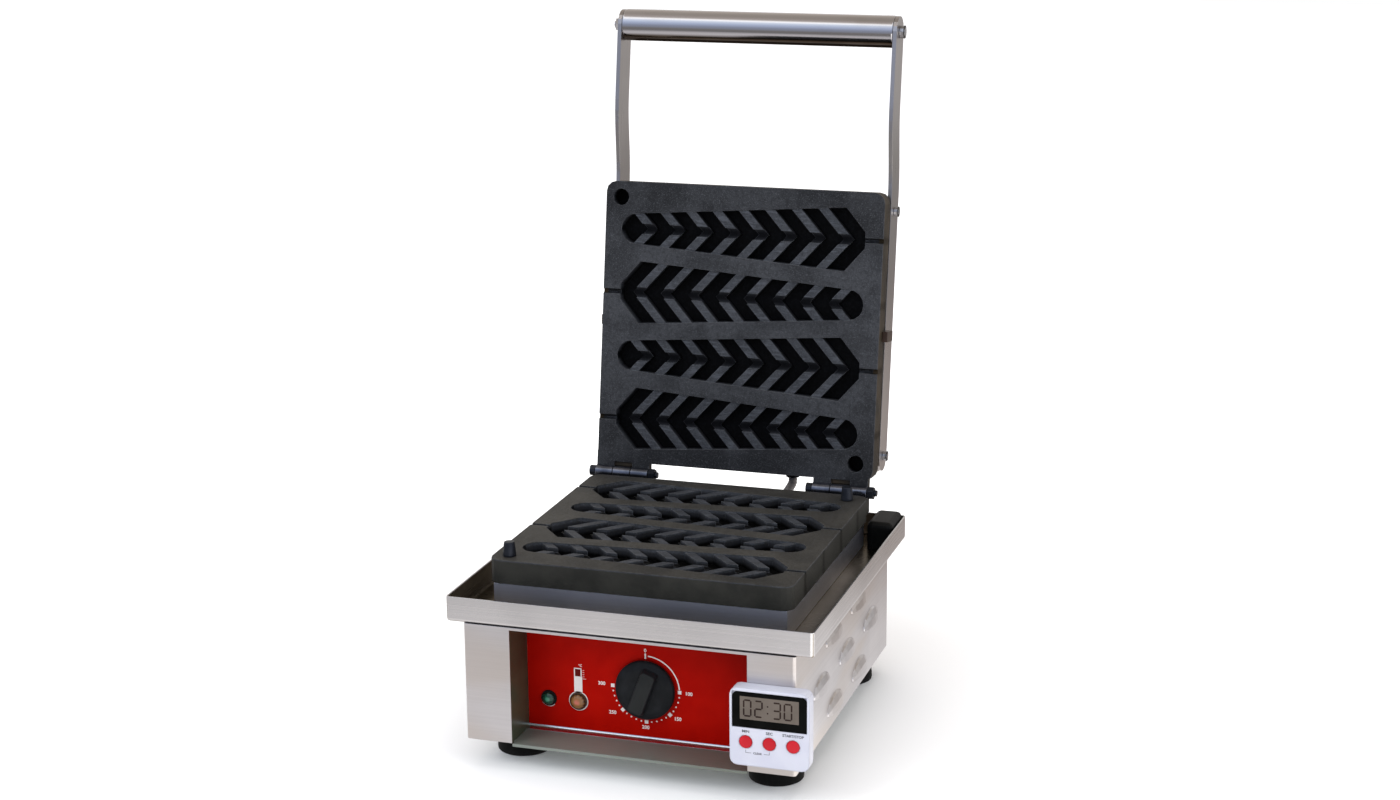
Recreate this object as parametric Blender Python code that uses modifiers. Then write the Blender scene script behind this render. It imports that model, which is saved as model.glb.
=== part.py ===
"""A waffle iron for waffles on a stick: a steel body with a tray, and two moulded cast plates that a hinge joins.

All sizes are in metres. X points to the right, Y to the back and Z up. Places are measured from the
middle of the tray rim, at table height. The lid is built in its closed place, and its empty turns it open.
"""

import math

import bmesh
import bpy
from mathutils import Matrix, Vector

# How pieces meet, and how round things are cut
CLEARANCE = 0.0003
OVERRUN = 0.0020
EMBED = 0.0015
SHEET = 0.0012
MERGE = 0.00001
ROUND = 24
SMALL_ROUND = 12
HEXAGON = 6
CORNER_STEPS = 3
SHARP_DEGREES = 40

# Turns an outline drawn flat so that it faces X: its first axis becomes Y and its second one Z.
SIDEWAYS = Matrix(((0, 0, 1, 0), (1, 0, 0, 0), (0, 1, 0, 0), (0, 0, 0, 1)))

# Feet and base plate
FOOT_HEIGHT = 0.0220
FOOT_RADIUS = 0.0224
FOOT_TOP_RADIUS = 0.0205
FOOT_EDGE = 0.0015
FOOT_SIDE_INSET = 0.0300
FOOT_FRONT_INSET = 0.0510
FOOT_REAR_INSET = 0.0270
SCREW_RADIUS = 0.0022
SCREW_HEAD_RADIUS = 0.0045
SCREW_HEAD_HEIGHT = 0.0030
SCREW_RECESS_RADIUS = 0.0060
SCREW_RECESS_DEPTH = 0.0120
SCREW_END = 0.0030
BASE_SHEET = 0.0015
BASE_INSET = 0.0080
LIP_DROP = 0.0025

# Body, with the control recess in its front
TRAY_WIDTH = 0.3050
TRAY_DEPTH = 0.3110
BODY_WIDTH = 0.2760
BODY_DEPTH = 0.3050
BODY_HEIGHT = 0.0986
BODY_FRONT_INSET = 0.0005
BODY_CORNER = 0.0025
OPENING_WIDTH = 0.1976
OPENING_LIP = 0.0010
RECESS_DEPTH = 0.0382
PANEL_MARGIN = 0.0070
PANEL_TOP_GAP = 0.0010
FASCIA_SHEET = 0.0008
FASCIA_RISE = 0.0032
WIRING_WIDTH = 0.0800
WIRING_DEPTH = 0.0300
WIRING_INSET = 0.0330

# Louvres in both sides of the body
LOUVRE_LENGTH = 0.0500
LOUVRE_HEIGHT = 0.0140
LOUVRE_REACH = 0.0050
LOUVRE_PITCH = 0.0820
LOUVRE_ROW_PITCH = 0.0310
LOUVRE_LOWEST_RISE = 0.0120
LOUVRE_FIRST_INSETS = (0.0950, 0.0520, 0.0900)
LOUVRE_SIDES = 12
LOUVRE_RINGS = 8

# Knob and thermostat
KNOB_X = 0.0031
KNOB_RISE = 0.0442
KNOB_RADIUS = 0.0250
KNOB_RIM = 0.0030
KNOB_DOME_RADIUS = 0.0215
KNOB_DOME = 0.0030
KNOB_BAR_LENGTH = 0.0380
KNOB_BAR_WIDTH = 0.0094
KNOB_BAR_REACH = 0.0062
KNOB_BAR_CORNER = 0.0015
KNOB_REST_DEGREES = 20.5
KNOB_BORE_DEPTH = 0.0080
SHAFT_RADIUS = 0.0030
SHAFT_INSIDE = 0.0250
NECK_RADIUS = 0.0047
NECK_REACH = 0.0010
THERMOSTAT_WIDTH = 0.0400
THERMOSTAT_HEIGHT = 0.0440
THERMOSTAT_DEPTH = 0.0340
PROBE_RADIUS = 0.0030
CAPILLARY_SHARE = 0.35
PROBE_LENGTH = 0.0700

# Lamps
LAMP_RISE = 0.0274
POWER_LAMP_X = -0.0804
POWER_BARREL_RADIUS = 0.0048
POWER_BEZEL_RADIUS = 0.0065
POWER_LENS_RADIUS = 0.0052
HEATING_LAMP_X = -0.0549
HEATING_BARREL_RADIUS = 0.0055
HEATING_BEZEL_RADIUS = 0.0070
HEATING_LENS_RADIUS = 0.0060
BEZEL_THICKNESS = 0.0012
LAMP_INSIDE = 0.0180
LENS_REACH = 0.0030

# Timer, held on the front by a magnet
TIMER_WIDTH = 0.0640
TIMER_HEIGHT = 0.0640
TIMER_THICKNESS = 0.0120
TIMER_CORNER = 0.0060
TIMER_SIDE_INSET = 0.0178
TIMER_RISE = 0.0102
WINDOW_SIDE_MARGIN = 0.0022
WINDOW_TOP_MARGIN = 0.0032
WINDOW_HEIGHT = 0.0290
WINDOW_THICKNESS = 0.0010
DISPLAY_SIDE_MARGIN = 0.0062
DISPLAY_TOP_MARGIN = 0.0035
DISPLAY_HEIGHT = 0.0188
BUTTON_RADIUS = 0.0052
BUTTON_GAP = 0.0004
BUTTON_REACH = 0.0015
BUTTON_TRAVEL = 0.0010
BUTTON_WELL = 0.0040
BUTTON_RISE = 0.0198
BUTTON_SPACING = 0.0190
BUTTON_EDGE = 0.0005
MAGNET_RADIUS = 0.0080
MAGNET_THICKNESS = 0.0020

# Tray, support box and the black cover in the tray's corner
TRAY_HEIGHT = 0.0210
TRAY_CORNER = 0.0030
SUPPORT_HEIGHT = 0.0239
SUPPORT_SHEET = 0.0015
SUPPORT_SIDE_INSET = 0.0040
SUPPORT_END_INSET = 0.0012
SUPPORT_FLANGE = 0.0140
COVER_WALL_GAP = 0.0013
COVER_PLATE_GAP = 0.00075
COVER_DEPTH = 0.0420
COVER_HEIGHT = 0.0245
COVER_CORNER = 0.0045
COVER_WALL = 0.0020

# Cast plates
TRAY_GUTTER = 0.02575
PLATE_FRONT_INSET = 0.0290
PLATE_DEPTH = 0.2492
PLATE_THICKNESS = 0.0200
PLATE_GAP = 0.0008
PLATE_CORNER = 0.0090
UPPER_OVERHANG = 0.0015

# Moulds: four in each plate, every second one turned end for end
MOULD_COUNT = 4
MOULD_PITCH = 0.0565
MOULD_DEPTH = 0.0095
MOULD_DRAFT = 0.0012
NARROW_INSET = 0.02825
NARROW_RADIUS = 0.0135
SHOULDER_LENGTH = 0.0180
SHOULDER_HALF = 0.0280
END_INSET = 0.01575
END_HALF = 0.0070
NARROW_STEPS = 8
RIB_COUNT = 8
RIB_START = 0.0060
RIB_WIDTH = 0.0093
RIB_END_INSET = 0.0063
RIB_SLANT_SHARE = 0.9
RIB_DROP = 0.0012
CHANNEL_WIDTH = 0.0090
CHANNEL_DEPTH = 0.0050
CHANNEL_INSET = 0.0060
STICK_RADIUS = 0.0023
STICK_SIDES = 12

# Locating pins on the lower plate, and their holes in the upper one
PIN_RADIUS = 0.0055
PIN_TIP_RADIUS = 0.0047
PIN_TIP_EDGE = 0.0009
PIN_HEIGHT = 0.0120
PIN_STEM_RADIUS = 0.0040
PIN_STEM_DEPTH = 0.0100
PIN_HOLE_RADIUS = 0.0075
PIN_HOLE_DEPTH = 0.0150
FRONT_PIN_INSETS = (0.0138, 0.0124)
REAR_PIN_INSETS = (0.0158, 0.0147)

# Hinges
OPEN_DEGREES = 98.84
HINGE_SETBACK = 0.0095
LEFT_HINGE_INSET = 0.02425
RIGHT_HINGE_INSET = 0.02825
BARREL_LENGTH = 0.0160
BARREL_GAP = 0.0006
BARREL_RADIUS = 0.0052
HINGE_PIN_RADIUS = 0.0028
LEDGE_REACH = 0.0073
LEDGE_CLEARANCE = 0.0009
LEDGE_RISE = 0.0010
LUG_WEB = 0.0084
EAR_REACH = 0.0018
EAR_HEIGHT = 0.0075
BRIDGE_INSET = 0.0020
HINGE_HEAD_RADIUS = 0.0048
HINGE_HEAD_LENGTH = 0.0050
HINGE_NUT_RADIUS = 0.0055
HINGE_NUT_LENGTH = 0.0055
HINGE_TAIL = 0.0025

# Lid housing, arms and handle
HOUSING_HEIGHT = 0.0380
HOUSING_INSET = 0.0038
HOUSING_CORNER = 0.0015
ARM_THICKNESS = 0.0035
ARM_WIDTH = 0.0270
ARM_RISE = 0.0175
ARM_END_INSET = 0.0150
ARM_FRONT_BOLT_INSET = 0.0127
ARM_BEND_LENGTH = 0.0720
ARM_BEND_DROP = 0.0103
ARM_BEND_STEPS = 8
ARM_END_STEPS = 10
ARM_BOLT_RADIUS = 0.0025
ARM_BOLT_HEAD_RADIUS = 0.0042
ARM_BOLT_HEAD = 0.0035
ARM_BOLT_INSIDE = 0.0060
GRIP_REACH = 0.1385
GRIP_RADIUS = 0.0140
GRIP_WALL = 0.0015
TIE_RADIUS = 0.0030
TIE_HEAD_RADIUS = 0.0055
TIE_HEAD = 0.0038
TIE_NUT_RADIUS = 0.0058
TIE_NUT = 0.0050
TIE_TAIL = 0.0015
CLIP_Y = -0.0033
CLIP_WIDTH = 0.0090
CLIP_THICKNESS = 0.0045
CLIP_HEIGHT = 0.0200
CLIP_DROP = 0.0085
CLIP_CORNER = 0.0010

# Heating elements and insulation
ELEMENT_RADIUS = 0.00425
ELEMENT_GAP = 0.0004
ELEMENT_BEND = 0.0150
ELEMENT_BEND_STEPS = 2
ELEMENT_INNER_X = 0.0200
ELEMENT_SIDE_INSET = 0.03175
ELEMENT_FRONT_INSET = 0.0260
ELEMENT_TURN_INSET = 0.0660
ELEMENT_BACK_INSET = 0.0430
ELEMENT_TAIL_INSET = 0.0190
ELEMENT_TAIL = 0.0200
PAD_THICKNESS = 0.0150
PAD_SIDE_INSET = 0.0040
PAD_FRONT_INSET = 0.0060
PAD_BACK_INSET = 0.0380
UPPER_PAD_SIDE_INSET = 0.0125

# Electrical fittings at the back
GLAND_RADIUS = 0.0065
GLAND_COLLAR_RADIUS = 0.0095
GLAND_COLLAR = 0.0040
GLAND_NOSE = 0.0060
GLAND_NOSE_RADIUS = 0.0060
GLAND_INSIDE = 0.0060
SUPPLY_SIDE_INSET = 0.0580
SUPPLY_RISE = 0.0260
SUPPLY_BORE_RADIUS = 0.0035
BLOCK_WIDTH = 0.0400
BLOCK_DEPTH = 0.0250
BLOCK_HEIGHT = 0.0200
BLOCK_SETBACK = 0.0150
CONDUIT_RADIUS = 0.0040
CONDUIT_SEAT = 0.0060
BASE_CONDUIT_X = 0.0120
BASE_CONDUIT_DROP = 0.0280
LID_CONDUIT_X = 0.0450
CONDUIT_POINTS = 40
# How far the loop of the conduit stands to the right, back and up from its lower gland, in shares of the
# way between the two glands to the right, of the loop's depth back, and of the height between the glands
CONDUIT_LOOP_DEPTH = 0.0420
CONDUIT_LOOP_SHARES = (
    (0.02, 0.45, -0.04),
    (0.10, 0.90, 0.03),
    (0.26, 1.00, 0.27),
    (0.46, 0.72, 0.52),
    (0.68, 0.34, 0.75),
)

# Heights, from the table up
BASE_BOTTOM = FOOT_HEIGHT + CLEARANCE
BASE_TOP = BASE_BOTTOM + BASE_SHEET
BODY_BOTTOM = BASE_TOP + CLEARANCE
BODY_TOP = BODY_BOTTOM + BODY_HEIGHT
TRAY_BOTTOM = BODY_TOP + CLEARANCE
TRAY_TOP = TRAY_BOTTOM + TRAY_HEIGHT
TRAY_FLOOR = TRAY_BOTTOM + SHEET
SUPPORT_BOTTOM = TRAY_FLOOR + CLEARANCE
SUPPORT_TOP = SUPPORT_BOTTOM + SUPPORT_HEIGHT
PLATE_BOTTOM = SUPPORT_TOP + CLEARANCE
LOWER_FACE = PLATE_BOTTOM + PLATE_THICKNESS
UPPER_FACE = LOWER_FACE + PLATE_GAP
UPPER_BACK = UPPER_FACE + PLATE_THICKNESS
HOUSING_BOTTOM = UPPER_BACK + CLEARANCE
HOUSING_TOP = HOUSING_BOTTOM + HOUSING_HEIGHT
HINGE_Z = LOWER_FACE + PLATE_GAP / 2
ARM_Z = HOUSING_BOTTOM + ARM_RISE
GRIP_Z = ARM_Z - ARM_BEND_DROP
KNOB_Z = BASE_TOP + KNOB_RISE
LAMP_Z = BASE_TOP + LAMP_RISE

# Places from front to back
TRAY_FRONT = -TRAY_DEPTH / 2
BODY_FRONT = TRAY_FRONT + BODY_FRONT_INSET
BODY_BACK = BODY_FRONT + BODY_DEPTH
RETURN_END = BODY_FRONT + RECESS_DEPTH
PANEL_FRONT = RETURN_END + CLEARANCE
PANEL_BACK = PANEL_FRONT + SHEET
FASCIA_BACK = PANEL_FRONT - CLEARANCE
FASCIA_FRONT = FASCIA_BACK - FASCIA_SHEET
KNOB_BACK = FASCIA_FRONT - NECK_REACH - CLEARANCE
PLATE_FRONT = TRAY_FRONT + PLATE_FRONT_INSET
PLATE_BACK = PLATE_FRONT + PLATE_DEPTH
PLATE_MIDDLE = (PLATE_FRONT + PLATE_BACK) / 2
UPPER_FRONT = PLATE_FRONT - UPPER_OVERHANG
SUPPORT_FRONT = PLATE_FRONT + SUPPORT_END_INSET
SUPPORT_BACK = PLATE_BACK - SUPPORT_END_INSET
HOUSING_FRONT = UPPER_FRONT + HOUSING_INSET
HOUSING_BACK = PLATE_BACK - HOUSING_INSET
HINGE_Y = PLATE_BACK + HINGE_SETBACK
ARM_END_Y = HOUSING_BACK - ARM_END_INSET
ARM_BOLT_YS = (HOUSING_FRONT + ARM_FRONT_BOLT_INSET, ARM_END_Y)
BEND_START = UPPER_FRONT
BEND_END = BEND_START - ARM_BEND_LENGTH
GRIP_Y = UPPER_FRONT - GRIP_REACH
TIMER_BACK = BODY_FRONT - CLEARANCE
TIMER_FRONT = TIMER_BACK - TIMER_THICKNESS
WIRING_MIDDLE = SUPPORT_BACK - WIRING_INSET / 2

# Half widths, and places to the sides
BODY_HALF = BODY_WIDTH / 2
OPENING_HALF = OPENING_WIDTH / 2
PLATE_HALF = TRAY_WIDTH / 2 - TRAY_GUTTER
SUPPORT_HALF = PLATE_HALF - SUPPORT_SIDE_INSET
HOUSING_HALF = PLATE_HALF - HOUSING_INSET
ARM_INSIDE = HOUSING_HALF + CLEARANCE
ARM_OUTSIDE = ARM_INSIDE + ARM_THICKNESS
SUPPLY_X = -BODY_HALF + SUPPLY_SIDE_INSET
COVER_WIDTH = TRAY_GUTTER - SHEET - COVER_WALL_GAP - COVER_PLATE_GAP
HINGE_XS = (-PLATE_HALF + LEFT_HINGE_INSET, PLATE_HALF - RIGHT_HINGE_INSET)
ELEMENT_OUTER_X = PLATE_HALF - ELEMENT_SIDE_INSET
ELEMENT_MIDDLE_X = (ELEMENT_INNER_X + ELEMENT_OUTER_X) / 2
TIMER_X = BODY_HALF - TIMER_SIDE_INSET
TIMER_LEFT = TIMER_X - TIMER_WIDTH / 2
TIMER_RIGHT = TIMER_X + TIMER_WIDTH / 2
TIMER_BOTTOM = BODY_BOTTOM + TIMER_RISE
TIMER_TOP = TIMER_BOTTOM + TIMER_HEIGHT
BUTTON_Z = TIMER_BOTTOM + BUTTON_RISE
BUTTON_XS = {
    "minutes": TIMER_X - BUTTON_SPACING,
    "seconds": TIMER_X,
    "start": TIMER_X + BUTTON_SPACING,
}

# Places along a mould whose narrow end points to the left
NARROW_X = PLATE_HALF - NARROW_INSET
END_X = PLATE_HALF - END_INSET
SHOULDER_X = END_X - SHOULDER_LENGTH
CHANNEL_END = END_X - CHANNEL_INSET
RIB_FIRST_X = -NARROW_X + RIB_START
RIB_PITCH = (SHOULDER_X - RIB_END_INSET - RIB_FIRST_X) / (RIB_COUNT - 1)


def lid_opened(y, z):
    """Where a point of the closed lid lies, from the front and from the table, once the lid is open."""
    turn = math.radians(OPEN_DEGREES)
    back, up = y - HINGE_Y, z - HINGE_Z
    return (
        HINGE_Y + back * math.cos(turn) + up * math.sin(turn),
        HINGE_Z - back * math.sin(turn) + up * math.cos(turn),
    )


# The model's origin is under the middle of the space that it fills with its lid open.
FRONT_END = TIMER_FRONT - BUTTON_REACH
BACK_END = lid_opened(GRIP_Y, GRIP_Z)[0] + max(GRIP_RADIUS, ARM_WIDTH / 2)
MIDDLE_Y = (FRONT_END + BACK_END) / 2


def new_collection(name):
    collection = bpy.data.collections.new(name)
    bpy.context.scene.collection.children.link(collection)
    return collection


def clear_scene():
    for obj in list(bpy.data.objects):
        bpy.data.objects.remove(obj)


clear_scene()
PARTS = new_collection("waffle_iron")
CUTTERS = new_collection("cutters")


def new_finish(name, colour, roughness, metallic=0.0):
    finish = bpy.data.materials.new(name)
    finish.use_nodes = True
    shader = finish.node_tree.nodes["Principled BSDF"]
    shader.inputs["Base Color"].default_value = (*colour, 1.0)
    shader.inputs["Roughness"].default_value = roughness
    shader.inputs["Metallic"].default_value = metallic
    return finish


STEEL = new_finish("brushed_steel", (0.62, 0.62, 0.64), 0.32, 1.0)
POLISHED = new_finish("polished_steel", (0.55, 0.58, 0.64), 0.15, 1.0)
IRON = new_finish("cast_iron", (0.035, 0.038, 0.042), 0.55, 0.6)
HINGE_BLACK = new_finish("black_hinge_steel", (0.02, 0.022, 0.03), 0.35, 0.8)
BROWN = new_finish("brown_clip_steel", (0.08, 0.045, 0.03), 0.45, 0.6)
RED = new_finish("red_fascia", (0.30, 0.004, 0.004), 0.35)
BLACK = new_finish("black_plastic", (0.012, 0.012, 0.013), 0.45)
RUBBER = new_finish("black_rubber", (0.010, 0.010, 0.010), 0.80)
WHITE = new_finish("white_plastic", (0.80, 0.80, 0.80), 0.25)
DARK_GLASS = new_finish("dark_window", (0.008, 0.008, 0.009), 0.10)
DISPLAY = new_finish("display", (0.36, 0.36, 0.31), 0.30)
RED_BUTTON = new_finish("red_button", (0.55, 0.02, 0.02), 0.35)
GREEN_LENS = new_finish("green_lens", (0.01, 0.10, 0.05), 0.20)
ORANGE_LENS = new_finish("orange_lens", (0.55, 0.20, 0.03), 0.20)
ELEMENT = new_finish("element_sheath", (0.16, 0.15, 0.14), 0.50, 0.8)
WOOL = new_finish("insulation_wool", (0.72, 0.70, 0.64), 0.95)
COPPER = new_finish("copper", (0.60, 0.25, 0.12), 0.35, 1.0)
GREY = new_finish("grey_conduit", (0.30, 0.30, 0.31), 0.50)


class Home:
    """An empty that pieces hang on. Their places are given as if it weren't turned."""

    def __init__(self, name, origin, parent=None, turn=(0.0, 0.0, 0.0)):
        self.origin = Vector(origin)
        self.empty = bpy.data.objects.new(name, None)
        self.empty.empty_display_size = KNOB_RADIUS
        PARTS.objects.link(self.empty)
        self.empty.location = self.origin
        if parent:
            self.empty.parent = parent.empty
            self.empty.location = self.origin - parent.origin
        self.empty.rotation_euler = turn


MACHINE = Home("machine", (0.0, 0.0, 0.0))
MACHINE.empty.location.y = -MIDDLE_Y
LID = Home("lid_hinge", (0.0, HINGE_Y, HINGE_Z), MACHINE, (-math.radians(OPEN_DEGREES), 0.0, 0.0))
KNOB_AXIS = Home("knob_axis", (KNOB_X, KNOB_BACK, KNOB_Z), MACHINE, (0.0, math.radians(KNOB_REST_DEGREES), 0.0))
TIMER = Home("timer", (TIMER_X, TIMER_BACK, TIMER_BOTTOM), MACHINE)


def place(name, data, centre, home, finish):
    """Links an object at a place. A piece without a finish is a cutter or a shape to join, and stays hidden."""
    obj = bpy.data.objects.new(name, data)
    if finish:
        PARTS.objects.link(obj)
        data.materials.append(finish)
    else:
        CUTTERS.objects.link(obj)
        obj.hide_render = True
        obj.display_type = "WIRE"
    obj.parent = home.empty
    obj.location = Vector(centre) - home.origin
    return obj


def mesh_of(name, shape):
    """Turns a bmesh into a mesh that is shaded smooth up to its sharp edges."""
    mesh = bpy.data.meshes.new(name)
    shape.to_mesh(mesh)
    shape.free()
    mesh.shade_smooth()
    mesh.set_sharp_from_angle(angle=math.radians(SHARP_DEGREES))
    return mesh


def edge_axis(edge):
    along = edge.verts[1].co - edge.verts[0].co
    return "XYZ"[max(range(3), key=lambda axis: abs(along[axis]))]


def block(name, low, high, home, finish=None, rounded="", radius=0.0, flat_top=False):
    """A box between two corners, with the edges along the named axes rounded."""
    low, high = Vector(low), Vector(high)
    shape = bmesh.new()
    bmesh.ops.create_cube(shape, size=1)
    bmesh.ops.scale(shape, vec=high - low, verts=shape.verts)
    edges = [edge for edge in shape.edges if edge_axis(edge) in rounded]
    if flat_top:
        edges = [edge for edge in edges if min(vert.co.z for vert in edge.verts) < 0]
    if edges:
        bmesh.ops.bevel(
            shape, geom=edges, offset=radius, segments=CORNER_STEPS, profile=0.5, affect="EDGES"
        )
    return place(name, mesh_of(name, shape), (low + high) / 2, home, finish)


def rods(name, radius, spans, home, finish=None, sides=ROUND):
    """Round bars, each from one point to another, in one mesh."""
    shape = bmesh.new()
    for start, end in spans:
        start, end = Vector(start), Vector(end)
        turn = (end - start).to_track_quat("Z", "Y").to_matrix().to_4x4()
        bmesh.ops.create_cone(
            shape,
            cap_ends=True,
            segments=sides,
            radius1=radius,
            radius2=radius,
            depth=(end - start).length,
            matrix=Matrix.Translation((start + end) / 2) @ turn,
        )
    return place(name, mesh_of(name, shape), (0.0, 0.0, 0.0), home, finish)


def turned(name, profile, foot, axis, home, finish=None, sides=ROUND):
    """A lathe-turned piece. Its profile, radius then height, runs down its outer side, and foot is height 0."""
    mesh = bpy.data.meshes.new(name)
    count = len(profile)
    ring = profile[0][0] > 0
    edges = [(index, (index + 1) % count) for index in range(count if ring else count - 1)]
    mesh.from_pydata([(radius, 0.0, height) for radius, height in profile], edges, [])
    obj = place(name, mesh, foot, home, finish)
    obj.rotation_euler = Vector(axis).to_track_quat("Z", "Y").to_euler()
    screw = obj.modifiers.new("Turn", "SCREW")
    screw.steps = sides
    screw.render_steps = sides
    screw.use_merge_vertices = True
    screw.merge_threshold = MERGE
    screw.use_smooth_shade = True
    return obj


def flat_piece(name, outlines, thickness, middle, home, finish=None, facing=None, reshape=None):
    """A flat piece from closed outlines in its own plane. An outline inside another is a hole."""
    curve = bpy.data.curves.new(name + "_outline", "CURVE")
    curve.dimensions = "2D"
    curve.fill_mode = "BOTH"
    curve.extrude = thickness / 2
    for outline in outlines:
        spline = curve.splines.new("POLY")
        spline.points.add(len(outline) - 1)
        for point, (across, along) in zip(spline.points, outline):
            point.co = (across, along, 0.0, 1.0)
        spline.use_cyclic_u = True
    drawn = bpy.data.objects.new(name + "_outline", curve)
    CUTTERS.objects.link(drawn)
    bpy.context.view_layer.update()
    flat = bpy.data.meshes.new_from_object(drawn.evaluated_get(bpy.context.evaluated_depsgraph_get()))
    bpy.data.objects.remove(drawn)
    shape = bmesh.new()
    shape.from_mesh(flat)
    bpy.data.meshes.remove(flat)
    bmesh.ops.remove_doubles(shape, verts=shape.verts, dist=MERGE)
    if reshape:
        reshape(shape)
    bmesh.ops.recalc_face_normals(shape, faces=shape.faces)
    if facing:
        bmesh.ops.transform(shape, matrix=facing, verts=shape.verts)
    return place(name, mesh_of(name, shape), middle, home, finish)


def tube(name, points, radius, home, finish, fineness=1, radii=None):
    """A tube or wire along points, with closed ends."""
    curve = bpy.data.curves.new(name, "CURVE")
    curve.dimensions = "3D"
    curve.bevel_depth = radius
    curve.bevel_resolution = fineness
    curve.use_fill_caps = True
    spline = curve.splines.new("POLY")
    spline.points.add(len(points) - 1)
    for index, point in enumerate(points):
        spline.points[index].co = (*point, 1.0)
        if radii:
            spline.points[index].radius = radii[index]
    return place(name, curve, (0.0, 0.0, 0.0), home, finish)


def change(piece, operation, tools):
    for tool in tools:
        boolean = piece.modifiers.new(tool.name, "BOOLEAN")
        boolean.operation = operation
        boolean.object = tool
    return piece


def cut(piece, *tools):
    return change(piece, "DIFFERENCE", tools)


def join(piece, *tools):
    return change(piece, "UNION", tools)


def smooth_path(corners, count):
    """Points along a smooth curve through the corners, which passes its first and last one too."""
    corners = [Vector(corner) for corner in corners]
    ends = [2 * corners[0] - corners[1]] + corners + [2 * corners[-1] - corners[-2]]
    spans = len(corners) - 1
    points = []
    for step in range(count + 1):
        reach = step * spans / count
        span = min(int(reach), spans - 1)
        t = reach - span
        a, b, c, d = ends[span : span + 4]
        points.append(
            (2 * b + (c - a) * t + (2 * a - 5 * b + 4 * c - d) * t * t + (3 * b - a - 3 * c + d) * t**3) / 2
        )
    return points


def rounded_path(corners, bend, steps):
    """Straight runs between the corners, with a bend at each one."""
    corners = [Vector(corner) for corner in corners]
    points = [corners[0]]
    for before, corner, after in zip(corners, corners[1:], corners[2:]):
        start = corner + (before - corner).normalized() * bend
        end = corner + (after - corner).normalized() * bend
        for step in range(steps + 1):
            t = step / steps
            points.append(start.lerp(corner, t).lerp(corner.lerp(end, t), t))
    return points + [corners[-1]]


def feet():
    profile = (
        (FOOT_TOP_RADIUS, FOOT_HEIGHT),
        (FOOT_RADIUS, FOOT_EDGE),
        (FOOT_RADIUS - FOOT_EDGE, 0.0),
        (SCREW_RECESS_RADIUS, 0.0),
        (SCREW_RECESS_RADIUS, SCREW_RECESS_DEPTH),
        (SCREW_RADIUS + CLEARANCE, SCREW_RECESS_DEPTH),
        (SCREW_RADIUS + CLEARANCE, FOOT_HEIGHT),
    )
    head_bottom = SCREW_RECESS_DEPTH - CLEARANCE - SCREW_HEAD_HEIGHT
    screw = (
        (0.0, BASE_TOP + SCREW_END),
        (SCREW_RADIUS, BASE_TOP + SCREW_END),
        (SCREW_RADIUS, head_bottom + SCREW_HEAD_HEIGHT),
        (SCREW_HEAD_RADIUS, head_bottom + SCREW_HEAD_HEIGHT),
        (SCREW_HEAD_RADIUS, head_bottom),
        (0.0, head_bottom),
    )
    for place_name, (x, y) in foot_places().items():
        turned("foot_" + place_name, profile, (x, y, 0.0), (0, 0, 1), MACHINE, RUBBER)
        turned("foot_screw_" + place_name, screw, (x, y, 0.0), (0, 0, 1), MACHINE, STEEL, SMALL_ROUND)


def foot_places():
    side = BODY_HALF - FOOT_SIDE_INSET
    front, rear = BODY_FRONT + FOOT_FRONT_INSET, BODY_BACK - FOOT_REAR_INSET
    return {
        "front_left": (-side, front),
        "front_right": (side, front),
        "rear_left": (-side, rear),
        "rear_right": (side, rear),
    }


def base_plate():
    side = BODY_HALF - BASE_INSET
    plate = block(
        "base_plate",
        (-side, BODY_FRONT + BASE_INSET, BASE_BOTTOM),
        (side, BODY_BACK - BASE_INSET, BASE_TOP),
        MACHINE,
        STEEL,
    )
    tongue_half = OPENING_HALF - CLEARANCE
    tongue = flat_piece(
        "recess_floor",
        [
            (
                (BODY_FRONT, BASE_TOP),
                (BODY_FRONT, BASE_BOTTOM - LIP_DROP + BASE_SHEET),
                (BODY_FRONT + SHEET, BASE_BOTTOM - LIP_DROP + BASE_SHEET),
                (BODY_FRONT + SHEET, BASE_BOTTOM),
                (BODY_FRONT + BASE_INSET + EMBED, BASE_BOTTOM),
                (BODY_FRONT + BASE_INSET + EMBED, BASE_TOP),
            )
        ],
        2 * tongue_half,
        (0.0, 0.0, 0.0),
        MACHINE,
        facing=SIDEWAYS,
    )
    holes = rods(
        "foot_screw_holes",
        SCREW_RADIUS + CLEARANCE,
        [((x, y, BASE_BOTTOM - OVERRUN), (x, y, BASE_TOP + OVERRUN)) for x, y in foot_places().values()],
        MACHINE,
        sides=SMALL_ROUND,
    )
    cut(join(plate, tongue), holes)


def wiring_hole(name, low, high):
    """A tool for the hole that the wires pass through, from one height to the other."""
    return block(
        name,
        (-WIRING_WIDTH / 2, WIRING_MIDDLE - WIRING_DEPTH / 2, low),
        (WIRING_WIDTH / 2, WIRING_MIDDLE + WIRING_DEPTH / 2, high),
        MACHINE,
    )


def louvre_places():
    """The lower front corner of each louvre on one side, as its place to the back and its height."""
    for row, inset in enumerate(LOUVRE_FIRST_INSETS):
        height = BODY_BOTTOM + LOUVRE_LOWEST_RISE + row * LOUVRE_ROW_PITCH
        front = BODY_FRONT + inset
        while front + LOUVRE_LENGTH + BODY_CORNER < BODY_BACK:
            yield front, height
            front += LOUVRE_PITCH


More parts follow.
